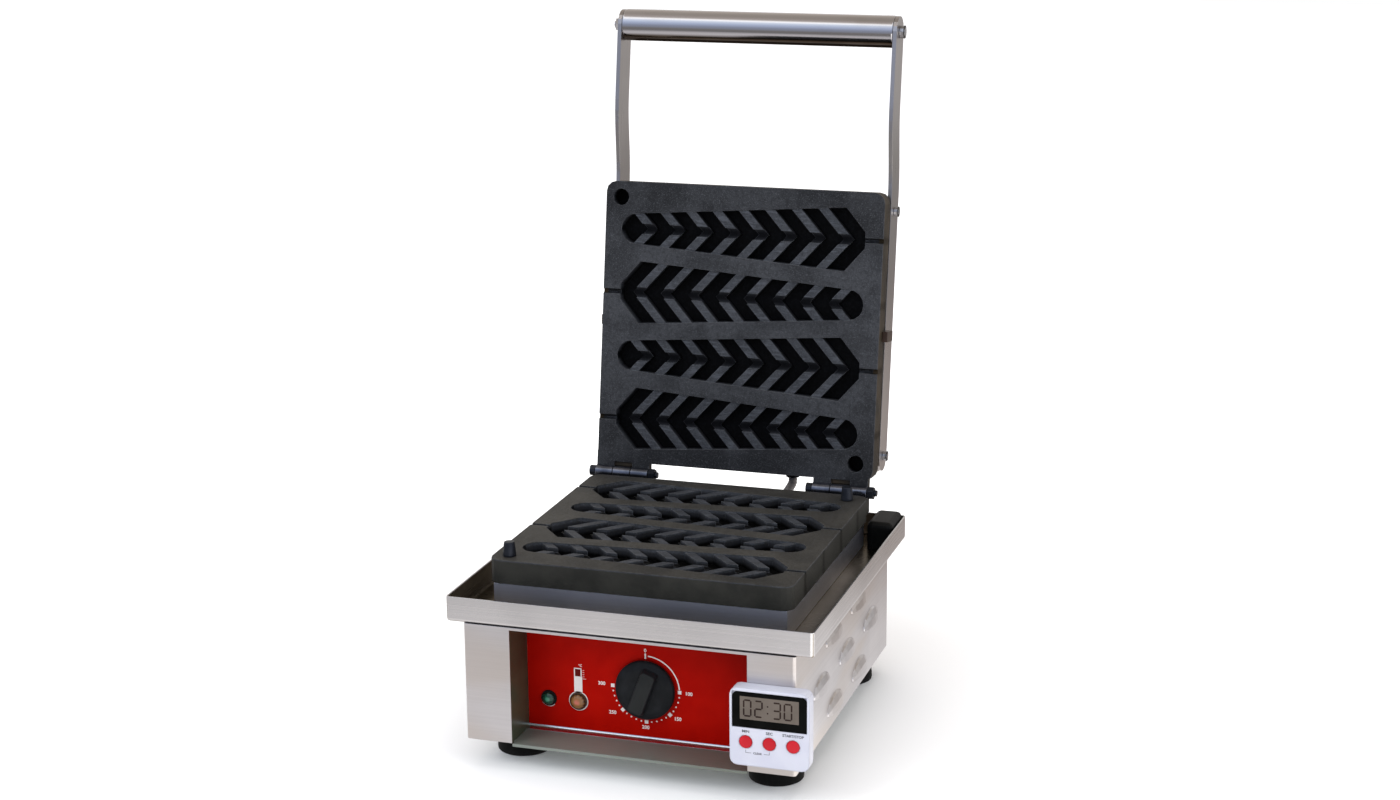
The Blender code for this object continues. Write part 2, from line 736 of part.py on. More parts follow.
def louvre_tools(name, thinner, side_cut):
    """Half egg shapes along the louvres of both sides: the hoods, or the smaller hollows under them."""
    shape = bmesh.new()
    for side in (-1, 1):
        for front, height in louvre_places():
            egg = bmesh.ops.create_uvsphere(
                shape, u_segments=LOUVRE_SIDES, v_segments=LOUVRE_RINGS, radius=1
            )["verts"]
            reach = Vector(
                (LOUVRE_REACH + SHEET - thinner, LOUVRE_LENGTH / 2 - thinner, LOUVRE_HEIGHT - thinner)
            )
            bmesh.ops.rotate(shape, verts=egg, matrix=Matrix.Rotation(math.pi / 2, 3, "X"))
            bmesh.ops.scale(shape, verts=egg, vec=reach)
            middle = Vector((side * (BODY_HALF - SHEET), front + LOUVRE_LENGTH / 2, height))
            bmesh.ops.translate(shape, verts=egg, vec=middle)
            edges = {edge for vert in egg for edge in vert.link_edges}
            faces = {face for vert in egg for face in vert.link_faces}
            kept = trim(shape, list(egg) + list(edges) + list(faces), middle - Vector((0, 0, thinner)), (0, 0, -1))
            if side_cut:
                trim(shape, kept, middle + Vector((side * SHEET / 2, 0, 0)), (-side, 0, 0))
    bmesh.ops.recalc_face_normals(shape, faces=shape.faces)
    return place(name, mesh_of(name, shape), (0.0, 0.0, 0.0), MACHINE, None)


def trim(shape, parts, point, away):
    """Cuts off what lies on the far side of a plane, closes the cut, and returns what is left."""
    done = bmesh.ops.bisect_plane(
        shape, geom=parts, dist=MERGE, plane_co=point, plane_no=away, clear_outer=True
    )
    rim = [part for part in done["geom_cut"] if isinstance(part, bmesh.types.BMEdge)]
    cap = bmesh.ops.edgeloop_fill(shape, edges=rim)["faces"]
    left = [part for part in done["geom"] if part.is_valid]
    return list(dict.fromkeys(left + rim + cap))


def body_shell():
    shell = block(
        "body_shell",
        (-BODY_HALF, BODY_FRONT, BODY_BOTTOM),
        (BODY_HALF, BODY_BACK, BODY_TOP),
        MACHINE,
        STEEL,
        rounded="Z",
        radius=BODY_CORNER,
    )
    inner_x, return_x = BODY_HALF - SHEET, OPENING_HALF + SHEET
    inner_front, inner_back = BODY_FRONT + SHEET, BODY_BACK - SHEET
    plan = [
        (-inner_x, inner_back),
        (-inner_x, inner_front),
        (-return_x, inner_front),
        (-return_x, RETURN_END),
        (return_x, RETURN_END),
        (return_x, inner_front),
        (inner_x, inner_front),
        (inner_x, inner_back),
    ]
    low, high = BODY_BOTTOM - OVERRUN, BODY_TOP - SHEET
    hollow = flat_piece("body_hollow", [plan], high - low, (0.0, 0.0, (low + high) / 2), MACHINE)
    opening = block(
        "control_opening",
        (-OPENING_HALF, BODY_FRONT - OVERRUN, low),
        (OPENING_HALF, RETURN_END + OVERRUN, high - OPENING_LIP),
        MACHINE,
    )
    wires = wiring_hole("body_wiring_hole", high - OVERRUN, BODY_TOP + OVERRUN)
    glands = rods(
        "body_gland_holes",
        GLAND_RADIUS + CLEARANCE,
        [
            ((x, inner_back - OVERRUN, z), (x, BODY_BACK + OVERRUN, z))
            for x, z in ((SUPPLY_X, BASE_TOP + SUPPLY_RISE), (BASE_CONDUIT_X, BODY_TOP - BASE_CONDUIT_DROP))
        ],
        MACHINE,
        sides=SMALL_ROUND,
    )
    cut(shell, hollow, opening, wires, glands)
    join(shell, louvre_tools("louvre_hoods", 0.0, True))
    cut(shell, louvre_tools("louvre_hollows", SHEET, False))


def panel_holes(name, front, back):
    """Tools for the holes of the thermostat neck and of both lamps."""
    return [
        rods(
            f"{name}_{what}",
            radius + CLEARANCE,
            [((x, front - OVERRUN, z), (x, back + OVERRUN, z))],
            MACHINE,
            sides=SMALL_ROUND,
        )
        for what, radius, x, z in (
            ("neck_hole", NECK_RADIUS, KNOB_X, KNOB_Z),
            ("power_lamp_hole", POWER_BARREL_RADIUS, POWER_LAMP_X, LAMP_Z),
            ("heating_lamp_hole", HEATING_BARREL_RADIUS, HEATING_LAMP_X, LAMP_Z),
        )
    ]


def control_panel():
    half = OPENING_HALF + PANEL_MARGIN
    top = BODY_TOP - SHEET - PANEL_TOP_GAP
    panel = block(
        "control_panel",
        (-half, PANEL_FRONT, BODY_BOTTOM),
        (half, PANEL_BACK, top),
        MACHINE,
        STEEL,
    )
    cut(panel, *panel_holes("panel", PANEL_FRONT, PANEL_BACK))
    fascia = block(
        "control_fascia",
        (-OPENING_HALF + CLEARANCE, FASCIA_FRONT, BASE_TOP + FASCIA_RISE),
        (OPENING_HALF - CLEARANCE, FASCIA_BACK, top - PANEL_TOP_GAP),
        MACHINE,
        RED,
    )
    cut(fascia, *panel_holes("fascia", FASCIA_FRONT, FASCIA_BACK))


def thermostat():
    half = THERMOSTAT_WIDTH / 2
    front = PANEL_BACK + CLEARANCE
    body = block(
        "thermostat_body",
        (KNOB_X - half, front, KNOB_Z - THERMOSTAT_HEIGHT / 2),
        (KNOB_X + half, front + THERMOSTAT_DEPTH, KNOB_Z + THERMOSTAT_HEIGHT / 2),
        MACHINE,
        BLACK,
    )
    neck = rods(
        "thermostat_neck",
        NECK_RADIUS,
        [((KNOB_X, FASCIA_FRONT - NECK_REACH, KNOB_Z), (KNOB_X, front + EMBED, KNOB_Z))],
        MACHINE,
        sides=SMALL_ROUND,
    )
    bore = rods(
        "thermostat_bore",
        SHAFT_RADIUS + CLEARANCE,
        [((KNOB_X, FASCIA_FRONT - OVERRUN, KNOB_Z), (KNOB_X, front + SHAFT_INSIDE + CLEARANCE, KNOB_Z))],
        MACHINE,
        sides=SMALL_ROUND,
    )
    cut(join(body, neck), bore)
    rods(
        "thermostat_shaft",
        SHAFT_RADIUS,
        [
            (
                (KNOB_X, KNOB_BACK - KNOB_BORE_DEPTH + CLEARANCE, KNOB_Z),
                (KNOB_X, front + SHAFT_INSIDE, KNOB_Z),
            )
        ],
        KNOB_AXIS,
        STEEL,
        sides=SMALL_ROUND,
    )


def thermostat_probe():
    """The bulb under the lower plate, and the thin tube from it down to the thermostat."""
    bulb_z = PLATE_BOTTOM - CLEARANCE - PROBE_RADIUS
    top = KNOB_Z + THERMOSTAT_HEIGHT / 2 + CLEARANCE
    start_y = PANEL_BACK + THERMOSTAT_DEPTH / 2
    bulb_back = PLATE_MIDDLE + PROBE_LENGTH / 2
    route = rounded_path(
        [
            (KNOB_X, start_y, top),
            (KNOB_X, start_y, (top + BODY_TOP) / 2),
            (0.0, WIRING_MIDDLE, (top + BODY_TOP) / 2),
            (0.0, WIRING_MIDDLE, bulb_z),
            (0.0, bulb_back, bulb_z),
            (0.0, bulb_back - PROBE_LENGTH, bulb_z),
        ],
        PROBE_RADIUS,
        ELEMENT_BEND_STEPS,
    )
    radii = [CAPILLARY_SHARE if point.y > bulb_back or point.z < bulb_z - MERGE else 1.0 for point in route]
    tube("thermostat_probe", route, PROBE_RADIUS, MACHINE, COPPER, radii=radii)


def knob():
    front = KNOB_RIM + KNOB_DOME
    profile = (
        (0.0, front),
        (KNOB_DOME_RADIUS, front),
        (KNOB_RADIUS, KNOB_RIM),
        (KNOB_RADIUS, 0.0),
        (0.0, 0.0),
    )
    skirt = turned("thermostat_knob", profile, KNOB_AXIS.origin, (0, -1, 0), KNOB_AXIS, BLACK)
    half_width, half_length = KNOB_BAR_WIDTH / 2, KNOB_BAR_LENGTH / 2
    bar = block(
        "knob_bar",
        (KNOB_X - half_width, KNOB_BACK - front - KNOB_BAR_REACH, KNOB_Z - half_length),
        (KNOB_X + half_width, KNOB_BACK - front + EMBED, KNOB_Z + half_length),
        KNOB_AXIS,
        rounded="Y",
        radius=KNOB_BAR_CORNER,
    )
    bore = rods(
        "knob_bore",
        SHAFT_RADIUS + CLEARANCE,
        [((KNOB_X, KNOB_BACK - KNOB_BORE_DEPTH, KNOB_Z), (KNOB_X, KNOB_BACK + OVERRUN, KNOB_Z))],
        KNOB_AXIS,
        sides=SMALL_ROUND,
    )
    cut(join(skirt, bar), bore)


def lamp(name, x, barrel_radius, bezel_radius, lens_radius, lens_finish):
    bezel_back = FASCIA_FRONT - CLEARANCE
    body = (
        (0.0, BEZEL_THICKNESS),
        (bezel_radius, BEZEL_THICKNESS),
        (bezel_radius, 0.0),
        (barrel_radius, 0.0),
        (barrel_radius, -LAMP_INSIDE),
        (0.0, -LAMP_INSIDE),
    )
    turned(name + "_body", body, (x, bezel_back, LAMP_Z), (0, -1, 0), MACHINE, BLACK, SMALL_ROUND)
    quarter = [math.pi / 2 * step / CORNER_STEPS for step in range(CORNER_STEPS + 1)]
    dome = [(lens_radius * math.sin(turn), LENS_REACH * math.cos(turn)) for turn in quarter]
    lens_back = bezel_back - BEZEL_THICKNESS - CLEARANCE
    turned(
        name + "_lens", dome + [(0.0, 0.0)], (x, lens_back, LAMP_Z), (0, -1, 0), MACHINE, lens_finish, SMALL_ROUND
    )


def timer():
    case = block(
        "timer_case",
        (TIMER_LEFT, TIMER_FRONT, TIMER_BOTTOM),
        (TIMER_RIGHT, TIMER_BACK, TIMER_TOP),
        TIMER,
        WHITE,
        rounded="Y",
        radius=TIMER_CORNER,
    )
    window_low = Vector(
        (
            TIMER_LEFT + WINDOW_SIDE_MARGIN,
            TIMER_FRONT,
            TIMER_TOP - WINDOW_TOP_MARGIN - WINDOW_HEIGHT,
        )
    )
    window_high = Vector(
        (
            TIMER_RIGHT - WINDOW_SIDE_MARGIN,
            TIMER_FRONT + WINDOW_THICKNESS,
            TIMER_TOP - WINDOW_TOP_MARGIN,
        )
    )
    gap = Vector((CLEARANCE, CLEARANCE, CLEARANCE))
    forward = Vector((0.0, OVERRUN, 0.0))
    pocket = block("window_pocket", window_low - gap - forward, window_high + gap, TIMER)
    window = block("timer_window", window_low, window_high, TIMER, DARK_GLASS)
    display_low = Vector(
        (
            window_low.x + DISPLAY_SIDE_MARGIN,
            TIMER_FRONT,
            window_high.z - DISPLAY_TOP_MARGIN - DISPLAY_HEIGHT,
        )
    )
    display_high = Vector(
        (window_high.x - DISPLAY_SIDE_MARGIN, window_high.y, window_high.z - DISPLAY_TOP_MARGIN)
    )
    cut(window, block("display_hole", display_low - gap - forward, display_high + gap + forward, TIMER))
    block("timer_display", display_low, display_high, TIMER, DISPLAY)
    wells = rods(
        "button_wells",
        BUTTON_RADIUS + BUTTON_GAP,
        [((x, TIMER_FRONT - OVERRUN, BUTTON_Z), (x, TIMER_FRONT + BUTTON_WELL, BUTTON_Z)) for x in BUTTON_XS.values()],
        TIMER,
        sides=SMALL_ROUND,
    )
    magnet_front = TIMER_BACK - MAGNET_THICKNESS
    magnet_z = (TIMER_BOTTOM + TIMER_TOP) / 2
    magnet_pocket = rods(
        "magnet_pocket",
        MAGNET_RADIUS + CLEARANCE,
        [((TIMER_X, magnet_front - CLEARANCE, magnet_z), (TIMER_X, TIMER_BACK + OVERRUN, magnet_z))],
        TIMER,
        sides=SMALL_ROUND,
    )
    cut(case, pocket, wells, magnet_pocket)
    rods(
        "timer_magnet",
        MAGNET_RADIUS,
        [((TIMER_X, magnet_front, magnet_z), (TIMER_X, TIMER_BACK, magnet_z))],
        TIMER,
        HINGE_BLACK,
        sides=SMALL_ROUND,
    )
    timer_buttons()


def timer_buttons():
    back = TIMER_FRONT + BUTTON_WELL - BUTTON_TRAVEL - CLEARANCE
    length = back - (TIMER_FRONT - BUTTON_REACH)
    profile = (
        (0.0, length),
        (BUTTON_RADIUS - BUTTON_EDGE, length),
        (BUTTON_RADIUS, length - BUTTON_EDGE),
        (BUTTON_RADIUS, 0.0),
        (0.0, 0.0),
    )
    for what, x in BUTTON_XS.items():
        home = Home(f"button_{what}_slide", (x, back, BUTTON_Z), TIMER)
        turned(
            f"timer_button_{what}", profile, (x, back, BUTTON_Z), (0, -1, 0), home, RED_BUTTON, SMALL_ROUND
        )


def tray_pan():
    low = Vector((-TRAY_WIDTH / 2, TRAY_FRONT, TRAY_BOTTOM))
    high = Vector((TRAY_WIDTH / 2, TRAY_FRONT + TRAY_DEPTH, TRAY_TOP))
    pan = block("tray_pan", low, high, MACHINE, STEEL, "XYZ", TRAY_CORNER, flat_top=True)
    wall = Vector((SHEET, SHEET, 0.0))
    inside = block(
        "tray_hollow",
        low + wall + Vector((0.0, 0.0, SHEET)),
        high - wall + Vector((0.0, 0.0, OVERRUN)),
        MACHINE,
        None,
        "XYZ",
        TRAY_CORNER - SHEET,
        flat_top=True,
    )
    cut(pan, inside, wiring_hole("tray_wiring_hole", TRAY_BOTTOM - OVERRUN, TRAY_FLOOR + OVERRUN))


def plate_support():
    box = block(
        "plate_support_box",
        (-SUPPORT_HALF, SUPPORT_FRONT, SUPPORT_BOTTOM),
        (SUPPORT_HALF, SUPPORT_BACK, SUPPORT_TOP),
        MACHINE,
        STEEL,
    )
    wall = SUPPORT_SHEET
    hollow = block(
        "support_hollow",
        (-SUPPORT_HALF + wall, SUPPORT_FRONT + wall, SUPPORT_BOTTOM - OVERRUN),
        (SUPPORT_HALF - wall, SUPPORT_BACK - wall, SUPPORT_TOP - wall),
        MACHINE,
    )
    window = block(
        "support_window",
        (-SUPPORT_HALF + SUPPORT_FLANGE, SUPPORT_FRONT + SUPPORT_FLANGE, SUPPORT_TOP - wall - OVERRUN),
        (SUPPORT_HALF - SUPPORT_FLANGE, SUPPORT_BACK - SUPPORT_FLANGE, SUPPORT_TOP + OVERRUN),
        MACHINE,
    )
    cut(box, hollow, window)


def corner_cover():
    right = TRAY_WIDTH / 2 - SHEET - COVER_WALL_GAP
    back = TRAY_FRONT + TRAY_DEPTH - SHEET - COVER_WALL_GAP
    low = Vector((right - COVER_WIDTH, back - COVER_DEPTH, TRAY_FLOOR + CLEARANCE))
    high = Vector((right, back, TRAY_FLOOR + CLEARANCE + COVER_HEIGHT))
    shape = bmesh.new()
    bmesh.ops.create_cube(shape, size=1)
    bmesh.ops.scale(shape, vec=high - low, verts=shape.verts)
    edges = [edge for edge in shape.edges if max(vert.co.z for vert in edge.verts) > 0]
    bmesh.ops.bevel(
        shape, geom=edges, offset=COVER_CORNER, segments=CORNER_STEPS, profile=0.5, affect="EDGES"
    )
    mesh = mesh_of("rear_corner_cover", shape)
    cover = place("rear_corner_cover", mesh, (low + high) / 2, MACHINE, BLACK)
    wall = Vector((COVER_WALL, COVER_WALL, 0.0))
    under = Vector((0.0, 0.0, OVERRUN))
    cut(cover, block("cover_hollow", low + wall - under, high - wall - Vector((0.0, 0.0, COVER_CORNER)), MACHINE))


def mould_rows():
    """Each mould's place to the back, and which way its narrow end points."""
    for row in range(MOULD_COUNT):
        yield PLATE_MIDDLE + (row - (MOULD_COUNT - 1) / 2) * MOULD_PITCH, 1 if row % 2 == 0 else -1


def mould_half_width(x):
    """Half the width of a mould at a place along it, between its narrow end and its shoulders."""
    share = (x + NARROW_X) / (NARROW_X + SHOULDER_X)
    return NARROW_RADIUS + (SHOULDER_HALF - NARROW_RADIUS) * min(max(share, 0.0), 1.0)


def mould_outlines():
    outlines = []
    for y, way in mould_rows():
        turns = [math.pi / 2 + math.pi * step / NARROW_STEPS for step in range(NARROW_STEPS + 1)]
        outline = [(-NARROW_X + NARROW_RADIUS * math.cos(turn), NARROW_RADIUS * math.sin(turn)) for turn in turns]
        outline += [(SHOULDER_X, -SHOULDER_HALF), (END_X, -END_HALF)]
        outline += [(END_X, END_HALF), (SHOULDER_X, SHOULDER_HALF)]
        outlines.append([(way * across, y + along) for across, along in outline])
    return outlines


def rib_outlines():
    """The chevron ribs of all moulds. Each one reaches a little way into the walls beside it."""
    outlines = []
    for y, way in mould_rows():
        for rib in range(RIB_COUNT):
            tip = RIB_FIRST_X + rib * RIB_PITCH + RIB_SLANT_SHARE * CHANNEL_WIDTH / 2
            half = mould_half_width(tip) + EMBED
            back = tip - RIB_SLANT_SHARE * half
            outline = (
                (back, half),
                (tip, 0.0),
                (back, -half),
                (back + RIB_WIDTH, -half),
                (tip + RIB_WIDTH, 0.0),
                (back + RIB_WIDTH, half),
            )
            outlines.append([(way * across, y + along) for across, along in outline])
    return outlines


def channel_outlines():
    half = CHANNEL_WIDTH / 2
    return [
        ((-CHANNEL_END, y - half), (CHANNEL_END, y - half), (CHANNEL_END, y + half), (-CHANNEL_END, y + half))
        for y, way in mould_rows()
    ]


def draft(side):
    """Draws a mould's walls in towards its floor, which is below the middle for side -1 and above it for 1."""
    rows = [y for y, way in mould_rows()]

    def reshape(shape):
        for vert in shape.verts:
            if vert.co.z * side > 0:
                row = min(rows, key=lambda y: abs(y - vert.co.y))
                vert.co.x *= 1 - MOULD_DRAFT / END_X
                vert.co.y = row + (vert.co.y - row) * (1 - MOULD_DRAFT / SHOULDER_HALF)

    return reshape


def mould_plate(plate, face, inward, home):
    """Cuts the moulds into one plate. inward is -1 where they go down from its face and 1 where they go up."""
    name = plate.name

    def layer(what, outlines, near, far, reshape=None):
        """A flat tool between two depths below the face."""
        middle = face + inward * (near + far) / 2
        return flat_piece(f"{name}_{what}", outlines, far - near, (0.0, 0.0, middle), home, reshape=reshape)

    recesses = layer("moulds", mould_outlines(), -OVERRUN, MOULD_DEPTH, draft(inward))
    ribs = layer("ribs", rib_outlines(), RIB_DROP, MOULD_DEPTH + EMBED)
    channels = layer("channels", channel_outlines(), -OVERRUN, CHANNEL_DEPTH)
    slots = rods(
        name + "_stick_slots",
        STICK_RADIUS,
        [
            ((way * (END_X - EMBED), y, face), (way * (PLATE_HALF + OVERRUN), y, face))
            for y, way in mould_rows()
        ],
        home,
        sides=STICK_SIDES,
    )
    cut(plate, recesses)
    join(plate, ribs)
    cut(plate, channels, slots)


def pin_places():
    front_x, front_y = FRONT_PIN_INSETS
    rear_x, rear_y = REAR_PIN_INSETS
    return {
        "front": (-PLATE_HALF + front_x, PLATE_FRONT + front_y),
        "rear": (PLATE_HALF - rear_x, PLATE_BACK - rear_y),
    }


def hinge_bores(name, home):
    """Tools for the bolt holes through the barrels of both hinges."""
    half = 3 * BARREL_LENGTH / 2 + BARREL_GAP + OVERRUN
    return rods(
        name,
        HINGE_PIN_RADIUS + CLEARANCE,
        [((x - half, HINGE_Y, HINGE_Z), (x + half, HINGE_Y, HINGE_Z)) for x in HINGE_XS],
        home,
        sides=SMALL_ROUND,
    )


def lower_plate():
    plate = block(
        "lower_plate",
        (-PLATE_HALF, PLATE_FRONT, PLATE_BOTTOM),
        (PLATE_HALF, PLATE_BACK, LOWER_FACE),
        MACHINE,
        IRON,
        rounded="Z",
        radius=PLATE_CORNER,
    )
    mould_plate(plate, LOWER_FACE, -1, MACHINE)
    ledge_top = HINGE_Z - BARREL_RADIUS - LEDGE_CLEARANCE
    web_half = BARREL_LENGTH / 2 - CLEARANCE
    half = 3 * BARREL_LENGTH / 2 + BARREL_GAP
    for side, x in zip(("left", "right"), HINGE_XS):
        ledge = block(
            f"hinge_ledge_{side}",
            (x - half, PLATE_BACK - PLATE_CORNER - EMBED, PLATE_BOTTOM + LEDGE_RISE),
            (x + half, HINGE_Y + LEDGE_REACH, ledge_top),
            MACHINE,
        )
        web = block(
            f"hinge_web_{side}",
            (x - web_half, HINGE_Y - LUG_WEB / 2, ledge_top - EMBED),
            (x + web_half, HINGE_Y + LUG_WEB / 2, HINGE_Z),
            MACHINE,
        )
        barrel = rods(
            f"hinge_barrel_{side}",
            BARREL_RADIUS,
            [((x - BARREL_LENGTH / 2, HINGE_Y, HINGE_Z), (x + BARREL_LENGTH / 2, HINGE_Y, HINGE_Z))],
            MACHINE,
            sides=SMALL_ROUND,
        )
        join(plate, ledge, web, barrel)
    pin_bores = rods(
        "pin_bores",
        PIN_STEM_RADIUS + CLEARANCE,
        [
            ((x, y, LOWER_FACE - PIN_STEM_DEPTH - CLEARANCE), (x, y, LOWER_FACE + OVERRUN))
            for x, y in pin_places().values()
        ],
        MACHINE,
        sides=SMALL_ROUND,
    )
    cut(plate, hinge_bores("lower_hinge_bores", MACHINE), pin_bores)


def locating_pins():
    profile = (
        (0.0, PIN_HEIGHT),
        (PIN_TIP_RADIUS - PIN_TIP_EDGE, PIN_HEIGHT),
        (PIN_TIP_RADIUS, PIN_HEIGHT - PIN_TIP_EDGE),
        (PIN_RADIUS, CLEARANCE),
        (PIN_STEM_RADIUS, CLEARANCE),
        (PIN_STEM_RADIUS, -PIN_STEM_DEPTH),
        (0.0, -PIN_STEM_DEPTH),
    )
    for which, (x, y) in pin_places().items():
        turned(
            f"locating_pin_{which}", profile, (x, y, LOWER_FACE), (0, 0, 1), MACHINE, HINGE_BLACK, SMALL_ROUND
        )


def upper_plate():
    plate = block(
        "upper_plate",
        (-PLATE_HALF, UPPER_FRONT, UPPER_FACE),
        (PLATE_HALF, PLATE_BACK, UPPER_BACK),
        LID,
        IRON,
        rounded="Z",
        radius=PLATE_CORNER,
    )
    mould_plate(plate, UPPER_FACE, 1, LID)
    for side, x in zip(("left", "right"), HINGE_XS):
        for order, step in (("outer", -1), ("inner", 1)):
            middle = x + step * (BARREL_LENGTH + BARREL_GAP)
            low, high = middle - BARREL_LENGTH / 2, middle + BARREL_LENGTH / 2
            ear = block(
                f"ear_{side}_{order}",
                (low, PLATE_BACK - PLATE_CORNER, UPPER_FACE),
                (high, HINGE_Y + EAR_REACH, UPPER_FACE + EAR_HEIGHT),
                LID,
            )
            barrel = rods(
                f"ear_barrel_{side}_{order}",
                BARREL_RADIUS,
                [((low, HINGE_Y, HINGE_Z), (high, HINGE_Y, HINGE_Z))],
                LID,
                sides=SMALL_ROUND,
            )
            join(plate, ear, barrel)
        bridge = block(
            f"ear_bridge_{side}",
            (x - BARREL_LENGTH, PLATE_BACK - EMBED, UPPER_FACE + BRIDGE_INSET),
            (x + BARREL_LENGTH, HINGE_Y - BARREL_RADIUS - BARREL_GAP, UPPER_FACE + EAR_HEIGHT - BRIDGE_INSET),
            LID,
        )
        join(plate, bridge)
    pin_holes = rods(
        "pin_holes",
        PIN_HOLE_RADIUS,
        [
            ((x, y, UPPER_FACE - OVERRUN), (x, y, UPPER_FACE + PIN_HOLE_DEPTH))
            for x, y in pin_places().values()
        ],
        LID,
        sides=SMALL_ROUND,
    )
    cut(plate, hinge_bores("upper_hinge_bores", LID), pin_holes)


def nut(name, radius, length, bore_radius, start, home, finish):
    """A hexagon nut along X, whose left face is at start."""
    start = Vector(start)
    end = start + Vector((length, 0.0, 0.0))
    past = Vector((OVERRUN, 0.0, 0.0))
    piece = rods(name, radius, [(start, end)], home, finish, sides=HEXAGON)
    cut(piece, rods(name + "_bore", bore_radius, [(start - past, end + past)], home, sides=SMALL_ROUND))


def bolt_profile(radius, length, head_radius, head):
    """A round-headed bolt with its head on top, and height 0 under the head."""
    return (
        (0.0, head),
        (head_radius, head),
        (head_radius, 0.0),
        (radius, 0.0),
        (radius, -length),
        (0.0, -length),
    )


def hinge_fasteners():
    half = 3 * BARREL_LENGTH / 2 + BARREL_GAP
    length = 2 * (half + BARREL_GAP) + HINGE_NUT_LENGTH + HINGE_TAIL
    profile = bolt_profile(HINGE_PIN_RADIUS, length, HINGE_HEAD_RADIUS, HINGE_HEAD_LENGTH)
    for side, x in zip(("left", "right"), HINGE_XS):
        head_face = (x - half - BARREL_GAP, HINGE_Y, HINGE_Z)
        turned(f"hinge_bolt_{side}", profile, head_face, (-1, 0, 0), MACHINE, HINGE_BLACK, SMALL_ROUND)
        nut(
            f"hinge_nut_{side}",
            HINGE_NUT_RADIUS,
            HINGE_NUT_LENGTH,
            HINGE_PIN_RADIUS + CLEARANCE,
            (x + half + BARREL_GAP, HINGE_Y, HINGE_Z),
            MACHINE,
            HINGE_BLACK,
        )


def upper_housing():
    housing = block(
        "upper_housing",
        (-HOUSING_HALF, HOUSING_FRONT, HOUSING_BOTTOM),
        (HOUSING_HALF, HOUSING_BACK, HOUSING_TOP),
        LID,
        STEEL,
        rounded="Z",
        radius=HOUSING_CORNER,
    )
    hollow = block(
        "housing_hollow",
        (-HOUSING_HALF + SHEET, HOUSING_FRONT + SHEET, HOUSING_BOTTOM - OVERRUN),
        (HOUSING_HALF - SHEET, HOUSING_BACK - SHEET, HOUSING_TOP - SHEET),
        LID,
    )
    holes = rods(
        "housing_bolt_holes",
        ARM_BOLT_RADIUS + CLEARANCE,
        [
            ((side * (HOUSING_HALF - OVERRUN), y, ARM_Z), (side * (HOUSING_HALF + OVERRUN), y, ARM_Z))
            for side in (-1, 1)
            for y in ARM_BOLT_YS
        ],
        LID,
        sides=SMALL_ROUND,
    )
    gland_hole = rods(
        "housing_gland_hole",
        GLAND_RADIUS + CLEARANCE,
        [((LID_CONDUIT_X, HOUSING_BACK - SHEET - OVERRUN, ARM_Z), (LID_CONDUIT_X, HOUSING_BACK + OVERRUN, ARM_Z))],
        LID,
        sides=SMALL_ROUND,
    )
    cut(housing, hollow, holes, gland_hole)


def arm_outline():
    """The outer edge of an arm, from its round end at the hinge, along its bend, round the handle and back."""
    half = ARM_WIDTH / 2
    centre = [(ARM_END_Y, ARM_Z), (BEND_START, ARM_Z)]
    for step in range(1, ARM_BEND_STEPS + 1):
        t = step / ARM_BEND_STEPS
        eased = t * t * (3 - 2 * t)
        centre.append((BEND_START + (BEND_END - BEND_START) * t, ARM_Z - ARM_BEND_DROP * eased))
    centre.append((GRIP_Y, GRIP_Z))
    upper, lower = [], []
    for index, (y, z) in enumerate(centre):
        before, after = centre[max(index - 1, 0)], centre[min(index + 1, len(centre) - 1)]
        along = Vector((after[0] - before[0], after[1] - before[1])).normalized()
        upper.append((y + along.y * half, z - along.x * half))
        lower.append((y - along.y * half, z + along.x * half))

    def round_end(y, z, start):
        turns = [start + math.pi * step / ARM_END_STEPS for step in range(1, ARM_END_STEPS)]
        return [(y + half * math.cos(turn), z + half * math.sin(turn)) for turn in turns]

    front_end = round_end(GRIP_Y, GRIP_Z, math.pi / 2)
    back_end = round_end(ARM_END_Y, ARM_Z, -math.pi / 2)
    return upper + front_end + lower[::-1] + back_end


def hole_outline(y, z, radius):
    turns = [2 * math.pi * step / SMALL_ROUND for step in range(SMALL_ROUND)]
    return [(y + radius * math.cos(turn), z + radius * math.sin(turn)) for turn in turns]


def arms():
    bolt_hole = ARM_BOLT_RADIUS + CLEARANCE
    outlines = [arm_outline()] + [hole_outline(y, ARM_Z, bolt_hole) for y in ARM_BOLT_YS]
    outlines.append(hole_outline(GRIP_Y, GRIP_Z, TIE_RADIUS + CLEARANCE))
    profile = bolt_profile(
        ARM_BOLT_RADIUS,
        CLEARANCE + ARM_THICKNESS + CLEARANCE + SHEET + ARM_BOLT_INSIDE,
        ARM_BOLT_HEAD_RADIUS,
        ARM_BOLT_HEAD,
    )
    for which, side in (("left", -1), ("right", 1)):
        middle = (side * (ARM_INSIDE + ARM_OUTSIDE) / 2, 0.0, 0.0)
        flat_piece(f"arm_{which}", outlines, ARM_THICKNESS, middle, LID, STEEL, facing=SIDEWAYS)
        for order, y in zip(("front", "rear"), ARM_BOLT_YS):
            head_face = (side * (ARM_OUTSIDE + CLEARANCE), y, ARM_Z)
            turned(
                f"arm_bolt_{order}_{which}", profile, head_face, (side, 0, 0), LID, STEEL, SMALL_ROUND
            )
        plate_clip(which, side)


